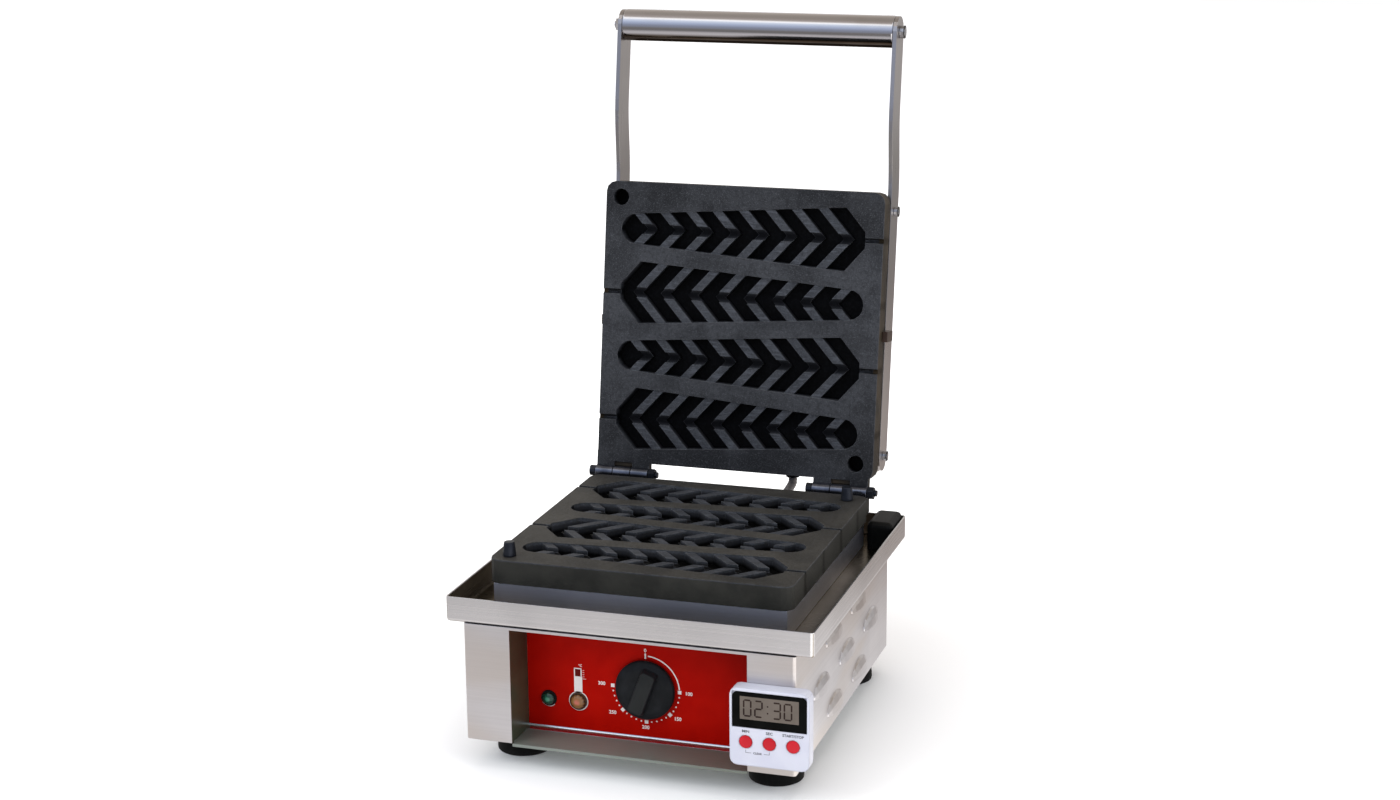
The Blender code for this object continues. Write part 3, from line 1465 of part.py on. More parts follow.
def plate_clip(which, side):
    """The small block that clamps the side of the upper plate to the arm."""
    inside = side * (PLATE_HALF + CLEARANCE)
    outside = inside + side * CLIP_THICKNESS
    bottom = UPPER_BACK - CLIP_DROP
    block(
        f"plate_clip_{which}",
        (min(inside, outside), CLIP_Y - CLIP_WIDTH / 2, bottom),
        (max(inside, outside), CLIP_Y + CLIP_WIDTH / 2, bottom + CLIP_HEIGHT),
        LID,
        BROWN,
        rounded="X",
        radius=CLIP_CORNER,
    )


def handle():
    half = ARM_INSIDE - CLEARANCE
    bore = GRIP_RADIUS - GRIP_WALL
    profile = ((GRIP_RADIUS, half), (GRIP_RADIUS, -half), (bore, -half), (bore, half))
    turned("handle_tube", profile, (0.0, GRIP_Y, GRIP_Z), (1, 0, 0), LID, POLISHED)
    head_face = ARM_OUTSIDE + CLEARANCE
    length = 2 * head_face + TIE_NUT + TIE_TAIL
    turned(
        "handle_bolt",
        bolt_profile(TIE_RADIUS, length, TIE_HEAD_RADIUS, TIE_HEAD),
        (head_face, GRIP_Y, GRIP_Z),
        (1, 0, 0),
        LID,
        STEEL,
        SMALL_ROUND,
    )
    nut(
        "handle_nut",
        TIE_NUT_RADIUS,
        TIE_NUT,
        TIE_RADIUS + CLEARANCE,
        (-head_face - TIE_NUT, GRIP_Y, GRIP_Z),
        LID,
        STEEL,
    )


def heating_element(name, seat, outward, home):
    """A bent tube against the back of a plate. outward is -1 for the lower plate and 1 for the upper one."""
    z = seat + outward * (CLEARANCE + ELEMENT_RADIUS)
    front = PLATE_FRONT + ELEMENT_FRONT_INSET
    turn = PLATE_FRONT + ELEMENT_TURN_INSET
    back = PLATE_BACK - ELEMENT_BACK_INSET
    tail = PLATE_BACK - ELEMENT_TAIL_INSET
    half = [
        (ELEMENT_INNER_X, tail, z + outward * ELEMENT_TAIL),
        (ELEMENT_INNER_X, tail, z),
        (ELEMENT_INNER_X, turn, z),
        (ELEMENT_MIDDLE_X, turn, z),
        (ELEMENT_MIDDLE_X, back, z),
        (ELEMENT_OUTER_X, back, z),
        (ELEMENT_OUTER_X, front, z),
    ]
    corners = [(-x, y, height) for x, y, height in half] + half[::-1]
    tube(name, rounded_path(corners, ELEMENT_BEND, ELEMENT_BEND_STEPS), ELEMENT_RADIUS, home, ELEMENT)


def insulation():
    across = ELEMENT_GAP + 2 * ELEMENT_RADIUS + CLEARANCE
    half = SUPPORT_HALF - SUPPORT_SHEET - PAD_SIDE_INSET
    top = PLATE_BOTTOM - across
    block(
        "lower_insulation",
        (-half, SUPPORT_FRONT + PAD_FRONT_INSET, SUPPORT_BOTTOM),
        (half, PLATE_BACK - PAD_BACK_INSET, top),
        MACHINE,
        WOOL,
    )
    half = HOUSING_HALF - UPPER_PAD_SIDE_INSET
    bottom = UPPER_BACK + across
    block(
        "upper_insulation",
        (-half, HOUSING_FRONT + PAD_FRONT_INSET, bottom),
        (half, PLATE_BACK - PAD_BACK_INSET, bottom + PAD_THICKNESS),
        LID,
        WOOL,
    )


def gland(name, bore_radius, wall, x, z, home):
    """A round bush through a rear wall, whose collar and nose stand out at the back."""
    profile = (
        (GLAND_NOSE_RADIUS, GLAND_COLLAR + GLAND_NOSE),
        (GLAND_NOSE_RADIUS, GLAND_COLLAR),
        (GLAND_COLLAR_RADIUS, GLAND_COLLAR),
        (GLAND_COLLAR_RADIUS, 0.0),
        (GLAND_RADIUS, 0.0),
        (GLAND_RADIUS, -GLAND_INSIDE),
        (bore_radius, -GLAND_INSIDE),
        (bore_radius, GLAND_COLLAR + GLAND_NOSE),
    )
    turned(name, profile, (x, wall + CLEARANCE, z), (0, 1, 0), home, BLACK, SMALL_ROUND)


def supply_fittings():
    z = BASE_TOP + SUPPLY_RISE
    gland("supply_gland", SUPPLY_BORE_RADIUS, BODY_BACK, SUPPLY_X, z, MACHINE)
    back = BODY_BACK - SHEET - BLOCK_SETBACK
    block(
        "terminal_block",
        (SUPPLY_X - BLOCK_WIDTH / 2, back - BLOCK_DEPTH, BASE_TOP + CLEARANCE),
        (SUPPLY_X + BLOCK_WIDTH / 2, back, BASE_TOP + CLEARANCE + BLOCK_HEIGHT),
        MACHINE,
        WHITE,
    )


def conduit():
    """The sheath of the wires to the lid, in a loop behind the machine between its two glands."""
    bore = CONDUIT_RADIUS + CLEARANCE
    base_z = BODY_TOP - BASE_CONDUIT_DROP
    gland("conduit_gland_base", bore, BODY_BACK, BASE_CONDUIT_X, base_z, MACHINE)
    gland("conduit_gland_lid", bore, HOUSING_BACK, LID_CONDUIT_X, ARM_Z, LID)
    gland_length = CLEARANCE + GLAND_COLLAR + GLAND_NOSE

    def on_lid(distance):
        y, z = lid_opened(HOUSING_BACK + distance, ARM_Z)
        return Vector((LID_CONDUIT_X, y, z))

    def on_base(distance):
        return Vector((BASE_CONDUIT_X, BODY_BACK + distance, base_z))

    seats = (gland_length - CONDUIT_SEAT, gland_length, gland_length + CONDUIT_SEAT)
    base_end = [on_base(distance) for distance in seats]
    lid_end = [on_lid(distance) for distance in reversed(seats)]
    leave, arrive = base_end[-1], lid_end[0]
    loop = [
        (
            leave.x + right * (arrive.x - leave.x),
            leave.y + back * CONDUIT_LOOP_DEPTH,
            leave.z + up * (arrive.z - leave.z),
        )
        for right, back, up in CONDUIT_LOOP_SHARES
    ]
    points = smooth_path([*base_end, *loop, *lid_end], CONDUIT_POINTS)
    tube("conduit", points, CONDUIT_RADIUS, MACHINE, GREY, fineness=2)


feet()
base_plate()
body_shell()
control_panel()
thermostat()
thermostat_probe()
knob()
lamp("power_lamp", POWER_LAMP_X, POWER_BARREL_RADIUS, POWER_BEZEL_RADIUS, POWER_LENS_RADIUS, GREEN_LENS)
lamp("heating_lamp", HEATING_LAMP_X, HEATING_BARREL_RADIUS, HEATING_BEZEL_RADIUS, HEATING_LENS_RADIUS, ORANGE_LENS)
timer()
tray_pan()
plate_support()
corner_cover()
lower_plate()
locating_pins()
upper_plate()
hinge_fasteners()
upper_housing()
arms()
handle()
heating_element("lower_element", PLATE_BOTTOM, -1, MACHINE)
heating_element("upper_element", UPPER_BACK, 1, LID)
insulation()
supply_fittings()
conduit()
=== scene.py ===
# %% [markdown]
# # A waffle iron with four long moulds
#
# The real machine is a folded steel box with a tray on top, two heavy cast plates that a hinge joins, a red
# control panel, and a small timer on a magnet. Its solids come from a CAD model, which is loaded first and
# stays as it is. Everything below gives those solids their finish, or adds what is too fine for them.

# %% Load the CAD model
import math

import bmesh
import bpy
from mathutils import Matrix, Vector


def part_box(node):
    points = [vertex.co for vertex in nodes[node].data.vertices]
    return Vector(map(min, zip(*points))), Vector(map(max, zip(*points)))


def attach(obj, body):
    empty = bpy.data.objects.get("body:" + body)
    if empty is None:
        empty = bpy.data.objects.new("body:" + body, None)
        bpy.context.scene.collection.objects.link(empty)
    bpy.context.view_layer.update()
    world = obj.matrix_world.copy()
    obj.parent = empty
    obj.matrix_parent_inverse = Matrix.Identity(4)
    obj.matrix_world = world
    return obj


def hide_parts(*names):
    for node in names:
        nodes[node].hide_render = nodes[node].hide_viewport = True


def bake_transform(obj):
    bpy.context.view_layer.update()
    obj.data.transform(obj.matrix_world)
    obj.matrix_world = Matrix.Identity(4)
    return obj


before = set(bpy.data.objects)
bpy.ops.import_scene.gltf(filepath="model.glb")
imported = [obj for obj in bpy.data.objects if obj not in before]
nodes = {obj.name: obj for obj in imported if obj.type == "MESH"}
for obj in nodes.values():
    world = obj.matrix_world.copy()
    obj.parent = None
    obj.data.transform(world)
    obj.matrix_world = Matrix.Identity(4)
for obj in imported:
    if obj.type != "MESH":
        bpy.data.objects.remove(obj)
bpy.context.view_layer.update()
scene = bpy.context.scene


def new_object(name, data):
    made = bpy.data.objects.new(name, data)
    scene.collection.objects.link(made)
    return made


def box_of(name):
    """The lowest corner, the highest corner and the middle of a CAD solid."""
    low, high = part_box(name)
    return low, high, (low + high) / 2


def plain_mesh(carrier):
    """The mesh that an object's curve or modifiers make. The object itself is taken away."""
    mesh = bpy.data.meshes.new_from_object(carrier.evaluated_get(bpy.context.evaluated_depsgraph_get()))
    carrier.modifiers.clear()
    bpy.data.objects.remove(carrier)
    return mesh


# %% [markdown]
# ## Camera
#
# A photograph has a place, a direction and a lens. These were worked out from the machine's straight edges,
# so the camera can simply be put there. The direction is written as a turn round the machine, a height above
# the horizon and a small roll, because those are what a photographer would say.

# %% Put the camera where the photographer stood
CAMERA_PLACE = Vector((0.61341, -1.91421, 0.80394))
AZIMUTH, ELEVATION, ROLL = math.radians(17.70), math.radians(14.90), math.radians(-0.49)
LENS_MM, SENSOR_MM = 63.83, 36.0
QUARTER = math.radians(90.0)

camera_data = bpy.data.cameras.new("camera")
camera_data.sensor_width, camera_data.lens = SENSOR_MM, LENS_MM
camera = new_object("camera", camera_data)
turn = Matrix.Rotation(AZIMUTH, 4, "Z") @ Matrix.Rotation(QUARTER - ELEVATION, 4, "X") @ Matrix.Rotation(ROLL, 4, "Z")
camera.matrix_world = Matrix.Translation(CAMERA_PLACE) @ turn
scene.camera = camera
print("camera is", round(CAMERA_PLACE.length, 2), "m from the machine")

# %% [markdown]
# ## Writing node trees as sums
#
# Materials and Geometry Nodes are both trees of nodes. Adding each node by hand takes many lines, so one small
# class wraps a socket and lets `a * 2 + b` add the Math nodes. A second one adds any other node: its settings
# come first, because they decide which sockets it has, and then the values or links of its sockets.

# %% A socket that can be used in sums
def maths(operation, last=False):
    """A method that adds a Math node. The wire is the node's first value, or its last one."""

    def method(self, *others):
        values = (*others, self) if last else (self, *others)
        return self.tree.node("ShaderNodeMath", {"operation": operation}, dict(enumerate(values)))

    return method


class Wire:
    """The output socket of a node. Sums on it add Math nodes to its tree."""

    __add__, __radd__ = maths("ADD"), maths("ADD", last=True)
    __sub__, __rsub__ = maths("SUBTRACT"), maths("SUBTRACT", last=True)
    __mul__, __rmul__ = maths("MULTIPLY"), maths("MULTIPLY", last=True)
    __truediv__, remainder, power = maths("DIVIDE"), maths("MODULO"), maths("POWER")
    size, fraction, sine, cosine = maths("ABSOLUTE"), maths("FRACT"), maths("SINE"), maths("COSINE")
    above, at_least, angle_from = maths("GREATER_THAN"), maths("MAXIMUM"), maths("ARCTAN2")

    def __init__(self, tree, socket):
        self.tree, self.socket = tree, socket

    def __neg__(self):
        return self * -1.0

    def out(self, name):
        """Another output of the same node."""
        return Wire(self.tree, self.socket.node.outputs[name])

    def dot(self, direction):
        """How far a place or a direction reaches along another direction."""
        sockets = {0: self, 1: direction}
        return self.tree.node("ShaderNodeVectorMath", {"operation": "DOT_PRODUCT"}, sockets).out("Value")

    def fade(self, start, end):
        """0 up to start and 1 from end on, with a soft step between."""
        sockets = {"Value": self, "From Min": start, "From Max": end}
        return self.tree.node("ShaderNodeMapRange", {"interpolation_type": "SMOOTHSTEP"}, sockets)


class Tree:
    """A node tree that nodes are added to."""

    def __init__(self, nodes_and_links):
        self.inside = nodes_and_links

    def node(self, kind, settings=None, sockets=None):
        made = self.inside.nodes.new(kind)
        for name, value in (settings or {}).items():
            if name == "stops":
                self.set_stops(made.color_ramp, value)
            else:
                setattr(made, name, value)
        for name, value in (sockets or {}).items():
            if isinstance(value, Wire):
                self.inside.links.new(value.socket, made.inputs[name])
            else:
                made.inputs[name].default_value = value
        return Wire(self, next(socket for socket in made.outputs if socket.enabled)) if made.outputs else made

    @staticmethod
    def set_stops(ramp, stops):
        while len(ramp.elements) < len(stops):
            ramp.elements.new(1.0)
        for element, (place, colour) in zip(ramp.elements, stops):
            element.position, element.color = place, (*colour, 1.0)


# %% [markdown]
# ## A finish from its own sockets
#
# On a Principled shader, a number that is the same all over is set on the socket itself. Only what changes over
# the surface is linked. `Finish.set` does both: plain values are set, and wires are linked. Most finishes are
# one colour with others laid over it, each by its own share, so `layered` takes them in turn.

# %% Make a material, and what most finishes need
class Finish(Tree):
    """A material whose Principled shader takes plain values and wires."""

    def __init__(self, name):
        self.material = bpy.data.materials.new(name)
        self.material.use_nodes = True
        super().__init__(self.material.node_tree)
        self.shader = self.inside.nodes["Principled BSDF"]
        self.place = self.node("ShaderNodeTexCoord").out("Object")
        self.facing = self.node("ShaderNodeTexCoord").out("Normal")

    def set(self, **values):
        for name, value in values.items():
            socket = self.shader.inputs[name.replace("_", " ")]
            if isinstance(value, Wire):
                self.inside.links.new(value.socket, socket)
            else:
                socket.default_value = (*value, 1.0) if isinstance(value, tuple) else value
        return self

    def split(self, vector):
        parts = self.node("ShaderNodeSeparateXYZ", None, {"Vector": vector})
        return parts, parts.out("Y"), parts.out("Z")

    def reach(self):
        """How far a place is to the right, to the back, and along the floor in all."""
        right, back, _ = self.split(self.place)
        return right, back, (right * right + back * back).power(0.5)

    def counted_from(self, point, vector=None):
        return self.node("ShaderNodeVectorMath", {"operation": "SUBTRACT"}, {0: vector or self.place, 1: point})

    def moved(self, vector=None, centre=(0.0, 0.0, 0.0), scale=(1.0, 1.0, 1.0), turn=(0.0, 0.0, 0.0)):
        """The vector counted from a centre, then turned back and stretched."""
        sockets = {"Vector": self.counted_from(centre, vector), "Rotation": turn, "Scale": scale}
        return self.node("ShaderNodeMapping", {"vector_type": "POINT"}, sockets)

    def noise(self, scale, detail=2.0, roughness=0.5, vector=None):
        sockets = {"Vector": vector or self.place, "Scale": scale, "Detail": detail, "Roughness": roughness}
        return self.node("ShaderNodeTexNoise", None, sockets)

    def drawn_out(self, scales, detail=3.0, roughness=0.65, vector=None):
        """Noise with its own scale to the right, to the back and up, so that it can run in lines."""
        return self.noise(1.0, detail, roughness, self.moved(vector, scale=scales))

    def blend(self, share, first, second):
        """A colour between two others."""
        colours = {
            place: value if isinstance(value, Wire) else (*value, 1.0) for place, value in ((6, first), (7, second))
        }
        return self.node("ShaderNodeMix", {"data_type": "RGBA"}, {0: share, **colours})

    def layered(self, tone, *layers):
        for share, colour in layers:
            tone = self.blend(share, tone, colour)
        return tone

    def bump(self, height, depth, onto=None):
        """A bump whose height 1 stands that many metres above height 0."""
        normal = {"Normal": onto} if onto else {}
        return self.node("ShaderNodeBump", None, {"Height": height, "Strength": 1.0, "Distance": depth, **normal})

    def rounding(self, radius):
        """A normal that turns softly over the edges, as if they were rounded off."""
        return self.node("ShaderNodeBevel", {"samples": 4}, {"Radius": radius})

    def edge(self, rounded):
        """1 on a rounded edge and 0 on the flats."""
        return rounded.dot(self.node("ShaderNodeNewGeometry").out("Normal")).fade(0.995, 0.90)


def dress(finish, *starts):
    """Gives a finish to each CAD solid whose name starts with one of the words. Its shape stays as it is."""
    for name, node in nodes.items():
        if name.startswith(starts):
            node.data.materials.clear()
            node.data.materials.append(finish.material)


# %% [markdown]
# ## Brushed stainless steel
#
# The body, tray and lid box are folded from brushed sheet. Brushing leaves fine lines along the sheet. A noise
# that is stretched along one direction gives such lines, and they belong in the roughness and in a very shallow
# bump, not in the colour. On upright walls the lines change quickly with the height, and on level ones with
# the depth, so the facing of the surface picks between the two.

# %% Brushed sheet
# The tray's inside tones: the brown of baked-on oil, made darker as painted shade
OIL_AND_SHADE = ((0.262, 0.220, 0.164), (0.170, 0.136, 0.092))
DULLED = 0.86


def brushed(
    name, colour, roughness=0.30, streak=0.10, turn=(0.0, 0.0, 0.0), along=(3.0, 3.0, 900.0), warmth=None,
    inside=None, inside_tones=OIL_AND_SHADE, metal=1.0, inside_metal=1.0,
):  # fmt: skip
    """Brushed sheet. along gives how fast the lines change to the right, to the back and up, per metre.

    inside is the low and high corner of a space whose walls take the darker inside tones."""
    finish = Finish(name)
    turned = finish.moved(turn=turn)
    level = finish.split(finish.facing)[2].size().fade(0.6, 0.8)
    level_lines = finish.drawn_out((3.0, 900.0, 3.0), vector=turned)
    lines = finish.drawn_out(along, vector=turned) * (1.0 - level) + level_lines * level
    clouds = finish.noise(14.0, 3.0)
    smears = finish.drawn_out((5.0, 5.0, 22.0), 2.0, 0.5)
    dull = tuple(channel * DULLED for channel in colour)
    tone = finish.blend(clouds.fade(0.35, 0.65) * 0.6 + lines.fade(0.3, 0.7) * 0.4, colour, dull)
    if warmth:
        tone = finish.blend(smears.fade(0.45, 0.62) * 0.5, tone, warmth)
    if inside:
        low, high = inside
        inside_share = 1.0
        for distance, reach in zip(finish.split(finish.moved(centre=(low + high) / 2)), (high - low) / 2):
            inside_share = inside_share * (1.0 - distance.size().above(reach))
        tone = finish.blend(inside_share, tone, finish.blend(clouds.fade(0.40, 0.62), *inside_tones))
        if inside_metal < metal:
            metal = metal - inside_share * (metal - inside_metal)
    return finish.set(
        Base_Color=tone,
        Metallic=metal,
        Roughness=roughness + (lines - 0.5) * streak + (smears - 0.5) * 0.10,
        Normal=finish.bump(lines, 0.00003, finish.rounding(0.0006)),
    )


# %% The steel sheets, with painted shade in the control recess, and oil and painted shade inside the tray
body_low, body_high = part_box("body_shell")
panel_low, panel_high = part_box("control_panel")
tray_low, tray_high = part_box("tray_pan")
SHEET = Vector((0.0007, 0.0007, 0.0007))
TRAY_INSIDE = (tray_low + SHEET, tray_high - SHEET)
RECESS = (
    Vector((panel_low.x - 0.002, body_low.y + 0.0005, 0.0)),
    Vector((panel_high.x + 0.002, panel_low.y + 0.002, body_high.z - 0.002)),
)
# The recess round the control panel is painted dark olive, as shade, and made less metallic
RECESS_SHADE = {"inside": RECESS, "inside_tones": ((0.068, 0.088, 0.052), (0.042, 0.052, 0.030)), "inside_metal": 0.35}
LID_TILT = math.radians(98.84 - 90.0)
LEANING = {"turn": (LID_TILT, 0.0, 0.0)}
# The base plate is a darker, less metallic copy of the steel: painted shade
BASE = {"warmth": (0.155, 0.165, 0.130), "metal": 0.40}
dress(brushed("brushed_body", (0.72, 0.705, 0.72), 0.33, warmth=(0.64, 0.57, 0.51), **RECESS_SHADE), "body_shell")
dress(brushed("brushed_base_shaded", (0.243, 0.272, 0.240), 0.42, 0.20, **BASE), "base_plate")
dress(brushed("brushed_tray", (0.77, 0.76, 0.77), 0.28, inside=TRAY_INSIDE), "tray_pan")
dress(brushed("brushed_panel", (0.72, 0.73, 0.77), 0.22), "control_panel")
dress(brushed("brushed_support", (0.86, 0.88, 0.97), 0.42), "plate_support_box")
dress(brushed("brushed_lid", (0.97, 0.88, 0.80), 0.42, **LEANING), "upper_housing")
dress(brushed("brushed_arms", (0.58, 0.55, 0.54), 0.30, along=(3.0, 900.0, 3.0), **LEANING), "arm_left", "arm_right")
bend_steel = brushed("brushed_bend", (0.86, 0.87, 0.92), 0.24, 0.20)
print("steel finishes:", sum(material.name.startswith("brushed_") for material in bpy.data.materials))

# %% [markdown]
# ## Cast iron
#
# The plates are sand cast: their skin is a fine, hard grain, and every edge is worn brighter by scrapers. The
# deeper a place lies, the darker its colour is painted, as shade in the moulds: the ribs are grey, the floors
# between them nearly black, and the middle channel of each mould darker still. Scrape streaks on the ribs are
# painted in a bluish tone, as a painted reflection. The depth below the plate's face picks the colour. On the
# open lid, the face leans back, so its depth is measured along its own direction.

# %% Sand-cast iron, with shade painted darker with depth
# Half the plate's width and depth, how far its middle is from the hinge, and the step from mould to mould
PLATE_HALF_WIDTH, PLATE_HALF_DEPTH = 0.12675, 0.1246
HINGE_TO_MIDDLE = 0.1341
MOULD_PITCH = 0.0565
SKIN = 0.0036


def cast_iron(name, face_point, face_out, away, faces, skins):
    """face_point lies on the plate's face under the hinge, face_out points out of it, and away from the hinge."""
    finish = Finish(name)
    from_face = finish.counted_from(face_point)
    height = from_face.dot(face_out)
    from_middle = from_face.dot(away) - HINGE_TO_MIDDLE
    from_axis = ((from_middle / MOULD_PITCH).fraction() - 0.5).size()
    ahead = from_middle.size() + (PLATE_HALF_WIDTH - PLATE_HALF_DEPTH)
    sideways = finish.split(finish.place)[0].size()
    outer = sideways.at_least(ahead).fade(PLATE_HALF_WIDTH - SKIN - 0.0008, PLATE_HALF_WIDTH - SKIN)
    channel = 1.0 - (from_axis * MOULD_PITCH).fade(0.0012, 0.0052)
    below_face = 1.0 - height.fade(-0.0010, -0.0006)
    deep = (1.0 - height.fade(-0.0090, -0.0048)) * (1.0 - outer)

    grain = finish.noise(1500.0, 3.0, 0.6) * 0.6 + finish.noise(620.0) * 0.4
    stains = finish.noise(26.0, 4.0, 0.6)
    stained = stains.fade(0.35, 0.70)
    speckle = finish.noise(1300.0, 2.0, 0.6).fade(0.52, 0.70)
    crust = finish.noise(330.0, 3.0, 0.75).fade(0.44, 0.66)
    # Scrape marks on the ribs, painted in a bluish tone as a reflection
    scrapes_and_painted_sheen = finish.drawn_out((90.0, 620.0, 620.0), 2.0, 0.6).fade(0.50, 0.68)
    rounded = finish.rounding(0.0007)
    worn = finish.edge(rounded) * finish.noise(160.0).fade(0.30, 0.60)

    # Painted shade: the colour darkens with depth below the face, from the face over the ribs and grooves down to the
    # floors, and each mould's middle channel is painted darker still
    floor = finish.blend(stains, (0.0030, 0.0030, 0.0032), (0.0060, 0.0058, 0.0060))
    groove = finish.blend(stained, (0.012, 0.013, 0.016), (0.020, 0.021, 0.025))
    rib = finish.blend(stained, (0.030, 0.033, 0.039), (0.044, 0.047, 0.054))
    used = 1.0 - from_middle.size().fade(0.045, 0.115)
    face = finish.blend(stains.fade(0.38, 0.62) * 0.55 + used * 0.45, *faces)
    skin = finish.blend(stains.fade(0.35, 0.65), *skins)
    tone = finish.layered(
        floor,
        (height.fade(-0.0085, -0.0050), groove),
        (height.fade(-0.0040, -0.0020), rib),
        (channel * 0.80, (0.0050, 0.0050, 0.0056)),
        (height.fade(-0.0006, -0.0002), face),
        (speckle * height.fade(-0.0050, -0.0014) * 0.55, (0.10, 0.105, 0.115)),
        (crust * 0.45, faces[0]),
        (scrapes_and_painted_sheen * height.fade(-0.0040, -0.0020) * below_face * 0.50, (0.085, 0.092, 0.108)),
        (worn * height.fade(-0.0080, -0.0040) * 0.75, (0.115, 0.120, 0.130)),
        (outer * (1.0 - height.fade(-0.0016, -0.0006)), skin),
    )
    return finish.set(
        Base_Color=tone,
        Metallic=0.20 + deep.at_least(channel * below_face) * 0.70,
        Roughness=0.60 + (stains - 0.5) * 0.14 - worn * 0.10,
        Normal=finish.bump(grain, 0.00022, rounded),
        Specular_IOR_Level=0.30,
    )


# %% The two plates
# The hinge's axis, half the gap between the closed plates, and the open lid's directions: out of its face and up
HINGE = Vector((0.0, 0.09908, 0.16910))
HALF_GAP = 0.0004
LID_OUT = Vector((0.0, -math.cos(LID_TILT), math.sin(LID_TILT)))
LID_UP = Vector((0.0, math.sin(LID_TILT), math.cos(LID_TILT)))
UP, TO_FRONT, TO_RIGHT = Vector((0.0, 0.0, 1.0)), Vector((0.0, -1.0, 0.0)), Vector((1.0, 0.0, 0.0))
LOWER_FACES = ((0.0240, 0.0225, 0.0195), (0.0520, 0.0480, 0.0410))
LOWER_SKINS = ((0.0165, 0.0165, 0.0140), (0.0290, 0.0285, 0.0240))
UPPER_FACES = ((0.0110, 0.0115, 0.0130), (0.0410, 0.0430, 0.0480))
UPPER_SKINS = ((0.0200, 0.0155, 0.0100), (0.0480, 0.0350, 0.0210))
lower_iron = cast_iron("cast_iron_lower", HINGE - UP * HALF_GAP, UP, TO_FRONT, LOWER_FACES, LOWER_SKINS)
upper_iron = cast_iron("cast_iron_upper", HINGE - LID_OUT * HALF_GAP, LID_OUT, LID_UP, UPPER_FACES, UPPER_SKINS)
dress(lower_iron, "lower_plate")
dress(upper_iron, "upper_plate")
print("nodes in the lid's iron:", len(upper_iron.inside.nodes))

# %% [markdown]
# ## Plastics, rubber and small metal parts
#
# Moulded plastic shows a faint orange-peel and soft edges, rubber is dull and dusty, and oxide-black steel has
# oily patches. They differ only in a few numbers, so one function makes them all: a base colour, a second
# colour that comes and goes in soft patches, a roughness, and the size and depth of the surface's grain.

# %% Moulded and coated finishes
def moulded(name, colour, patches, roughness, grain_scale=900.0, grain_depth=0.00002, edge=0.0005, **constants):
    """constants are the shader's own values, the same all over the surface."""
    finish = Finish(name)
    cloud, grain = finish.noise(60.0, 3.0), finish.noise(grain_scale)
    return finish.set(
        Base_Color=finish.blend(cloud.fade(0.35, 0.65), colour, patches),
        Roughness=roughness + (grain - 0.5) * 0.12 + (cloud - 0.5) * 0.08,
        Normal=finish.bump(grain, grain_depth, finish.rounding(edge)),
        **constants,
    )


DULL, SATIN = {"Specular_IOR_Level": 0.09}, {"Specular_IOR_Level": 0.25}
INK_GRAIN = {"grain_scale": 1500.0, "grain_depth": 0.000003, "edge": 0.00002, **DULL}
GLASS_GRAIN = {**INK_GRAIN, "grain_scale": 300.0}
hinge_black = moulded("oxide_black", (0.022, 0.025, 0.034), (0.034, 0.038, 0.048), 0.34, 700.0, Metallic=0.75)
bolt_steel = moulded("bolt_steel", (0.50, 0.50, 0.52), (0.42, 0.42, 0.44), 0.26, 600.0, 0.00001, Metallic=1.0)
knob_black = moulded(
    "knob_plastic", (0.0060, 0.0062, 0.0065), (0.0095, 0.0098, 0.0105), 0.44, 1600.0, 0.00003, **DULL
)
rubber = moulded(
    "foot_rubber", (0.0045, 0.0045, 0.0045), (0.0090, 0.0085, 0.0080), 0.70, 1200.0, 0.00005, 0.0010, **DULL
)
cover_black = moulded(
    "cover_plastic", (0.0030, 0.0030, 0.0030), (0.0055, 0.0055, 0.0052), 0.42, 900.0, 0.00003, 0.0010, **DULL
)
case_white = moulded("timer_white", (0.585, 0.59, 0.655), (0.55, 0.555, 0.63), 0.34, 900.0, 0.00001, 0.0016, **SATIN)
button_red = moulded("button_red", (0.46, 0.006, 0.014), (0.52, 0.010, 0.020), 0.40, 1500.0, 0.00001, **SATIN)
WINDOW_GRAIN = {**GLASS_GRAIN, "edge": 0.0003, "Specular_IOR_Level": 0.04}
window_black = moulded(
    "window_black", (0.0020, 0.0022, 0.0020), (0.0035, 0.0038, 0.0035), 0.20, **WINDOW_GRAIN
)
lcd_grey = moulded("lcd_grey", (0.118, 0.098, 0.080), (0.140, 0.116, 0.096), 0.32, **GLASS_GRAIN)
lcd_ink = moulded("lcd_ink", (0.020, 0.012, 0.010), (0.028, 0.017, 0.013), 0.40, **GLASS_GRAIN)
print_black = moulded("print_black", (0.045, 0.045, 0.052), (0.060, 0.060, 0.068), 0.55, **INK_GRAIN)
print_white = moulded("print_white", (0.74, 0.70, 0.67), (0.68, 0.64, 0.61), 0.50, **INK_GRAIN)
print_red = moulded("print_red", (0.12, 0.004, 0.002), (0.10, 0.003, 0.002), 0.45, **INK_GRAIN)
sheath_grey = moulded("conduit_sheath", (0.24, 0.22, 0.21), (0.30, 0.28, 0.27), 0.45, 900.0, 0.00004)
wool = moulded("wool", (0.70, 0.68, 0.62), (0.60, 0.58, 0.52), 0.92, 400.0, 0.0006)
copper = moulded("copper_tube", (0.60, 0.26, 0.13), (0.45, 0.20, 0.11), 0.34, Metallic=1.0)
dress(moulded("heat_brown", (0.050, 0.030, 0.022), (0.085, 0.055, 0.040), 0.42, Metallic=0.6), "plate_clip")
dress(
    moulded("element_metal", (0.14, 0.12, 0.11), (0.20, 0.16, 0.13), 0.48, Metallic=0.9),
    "lower_element",
    "upper_element",
)
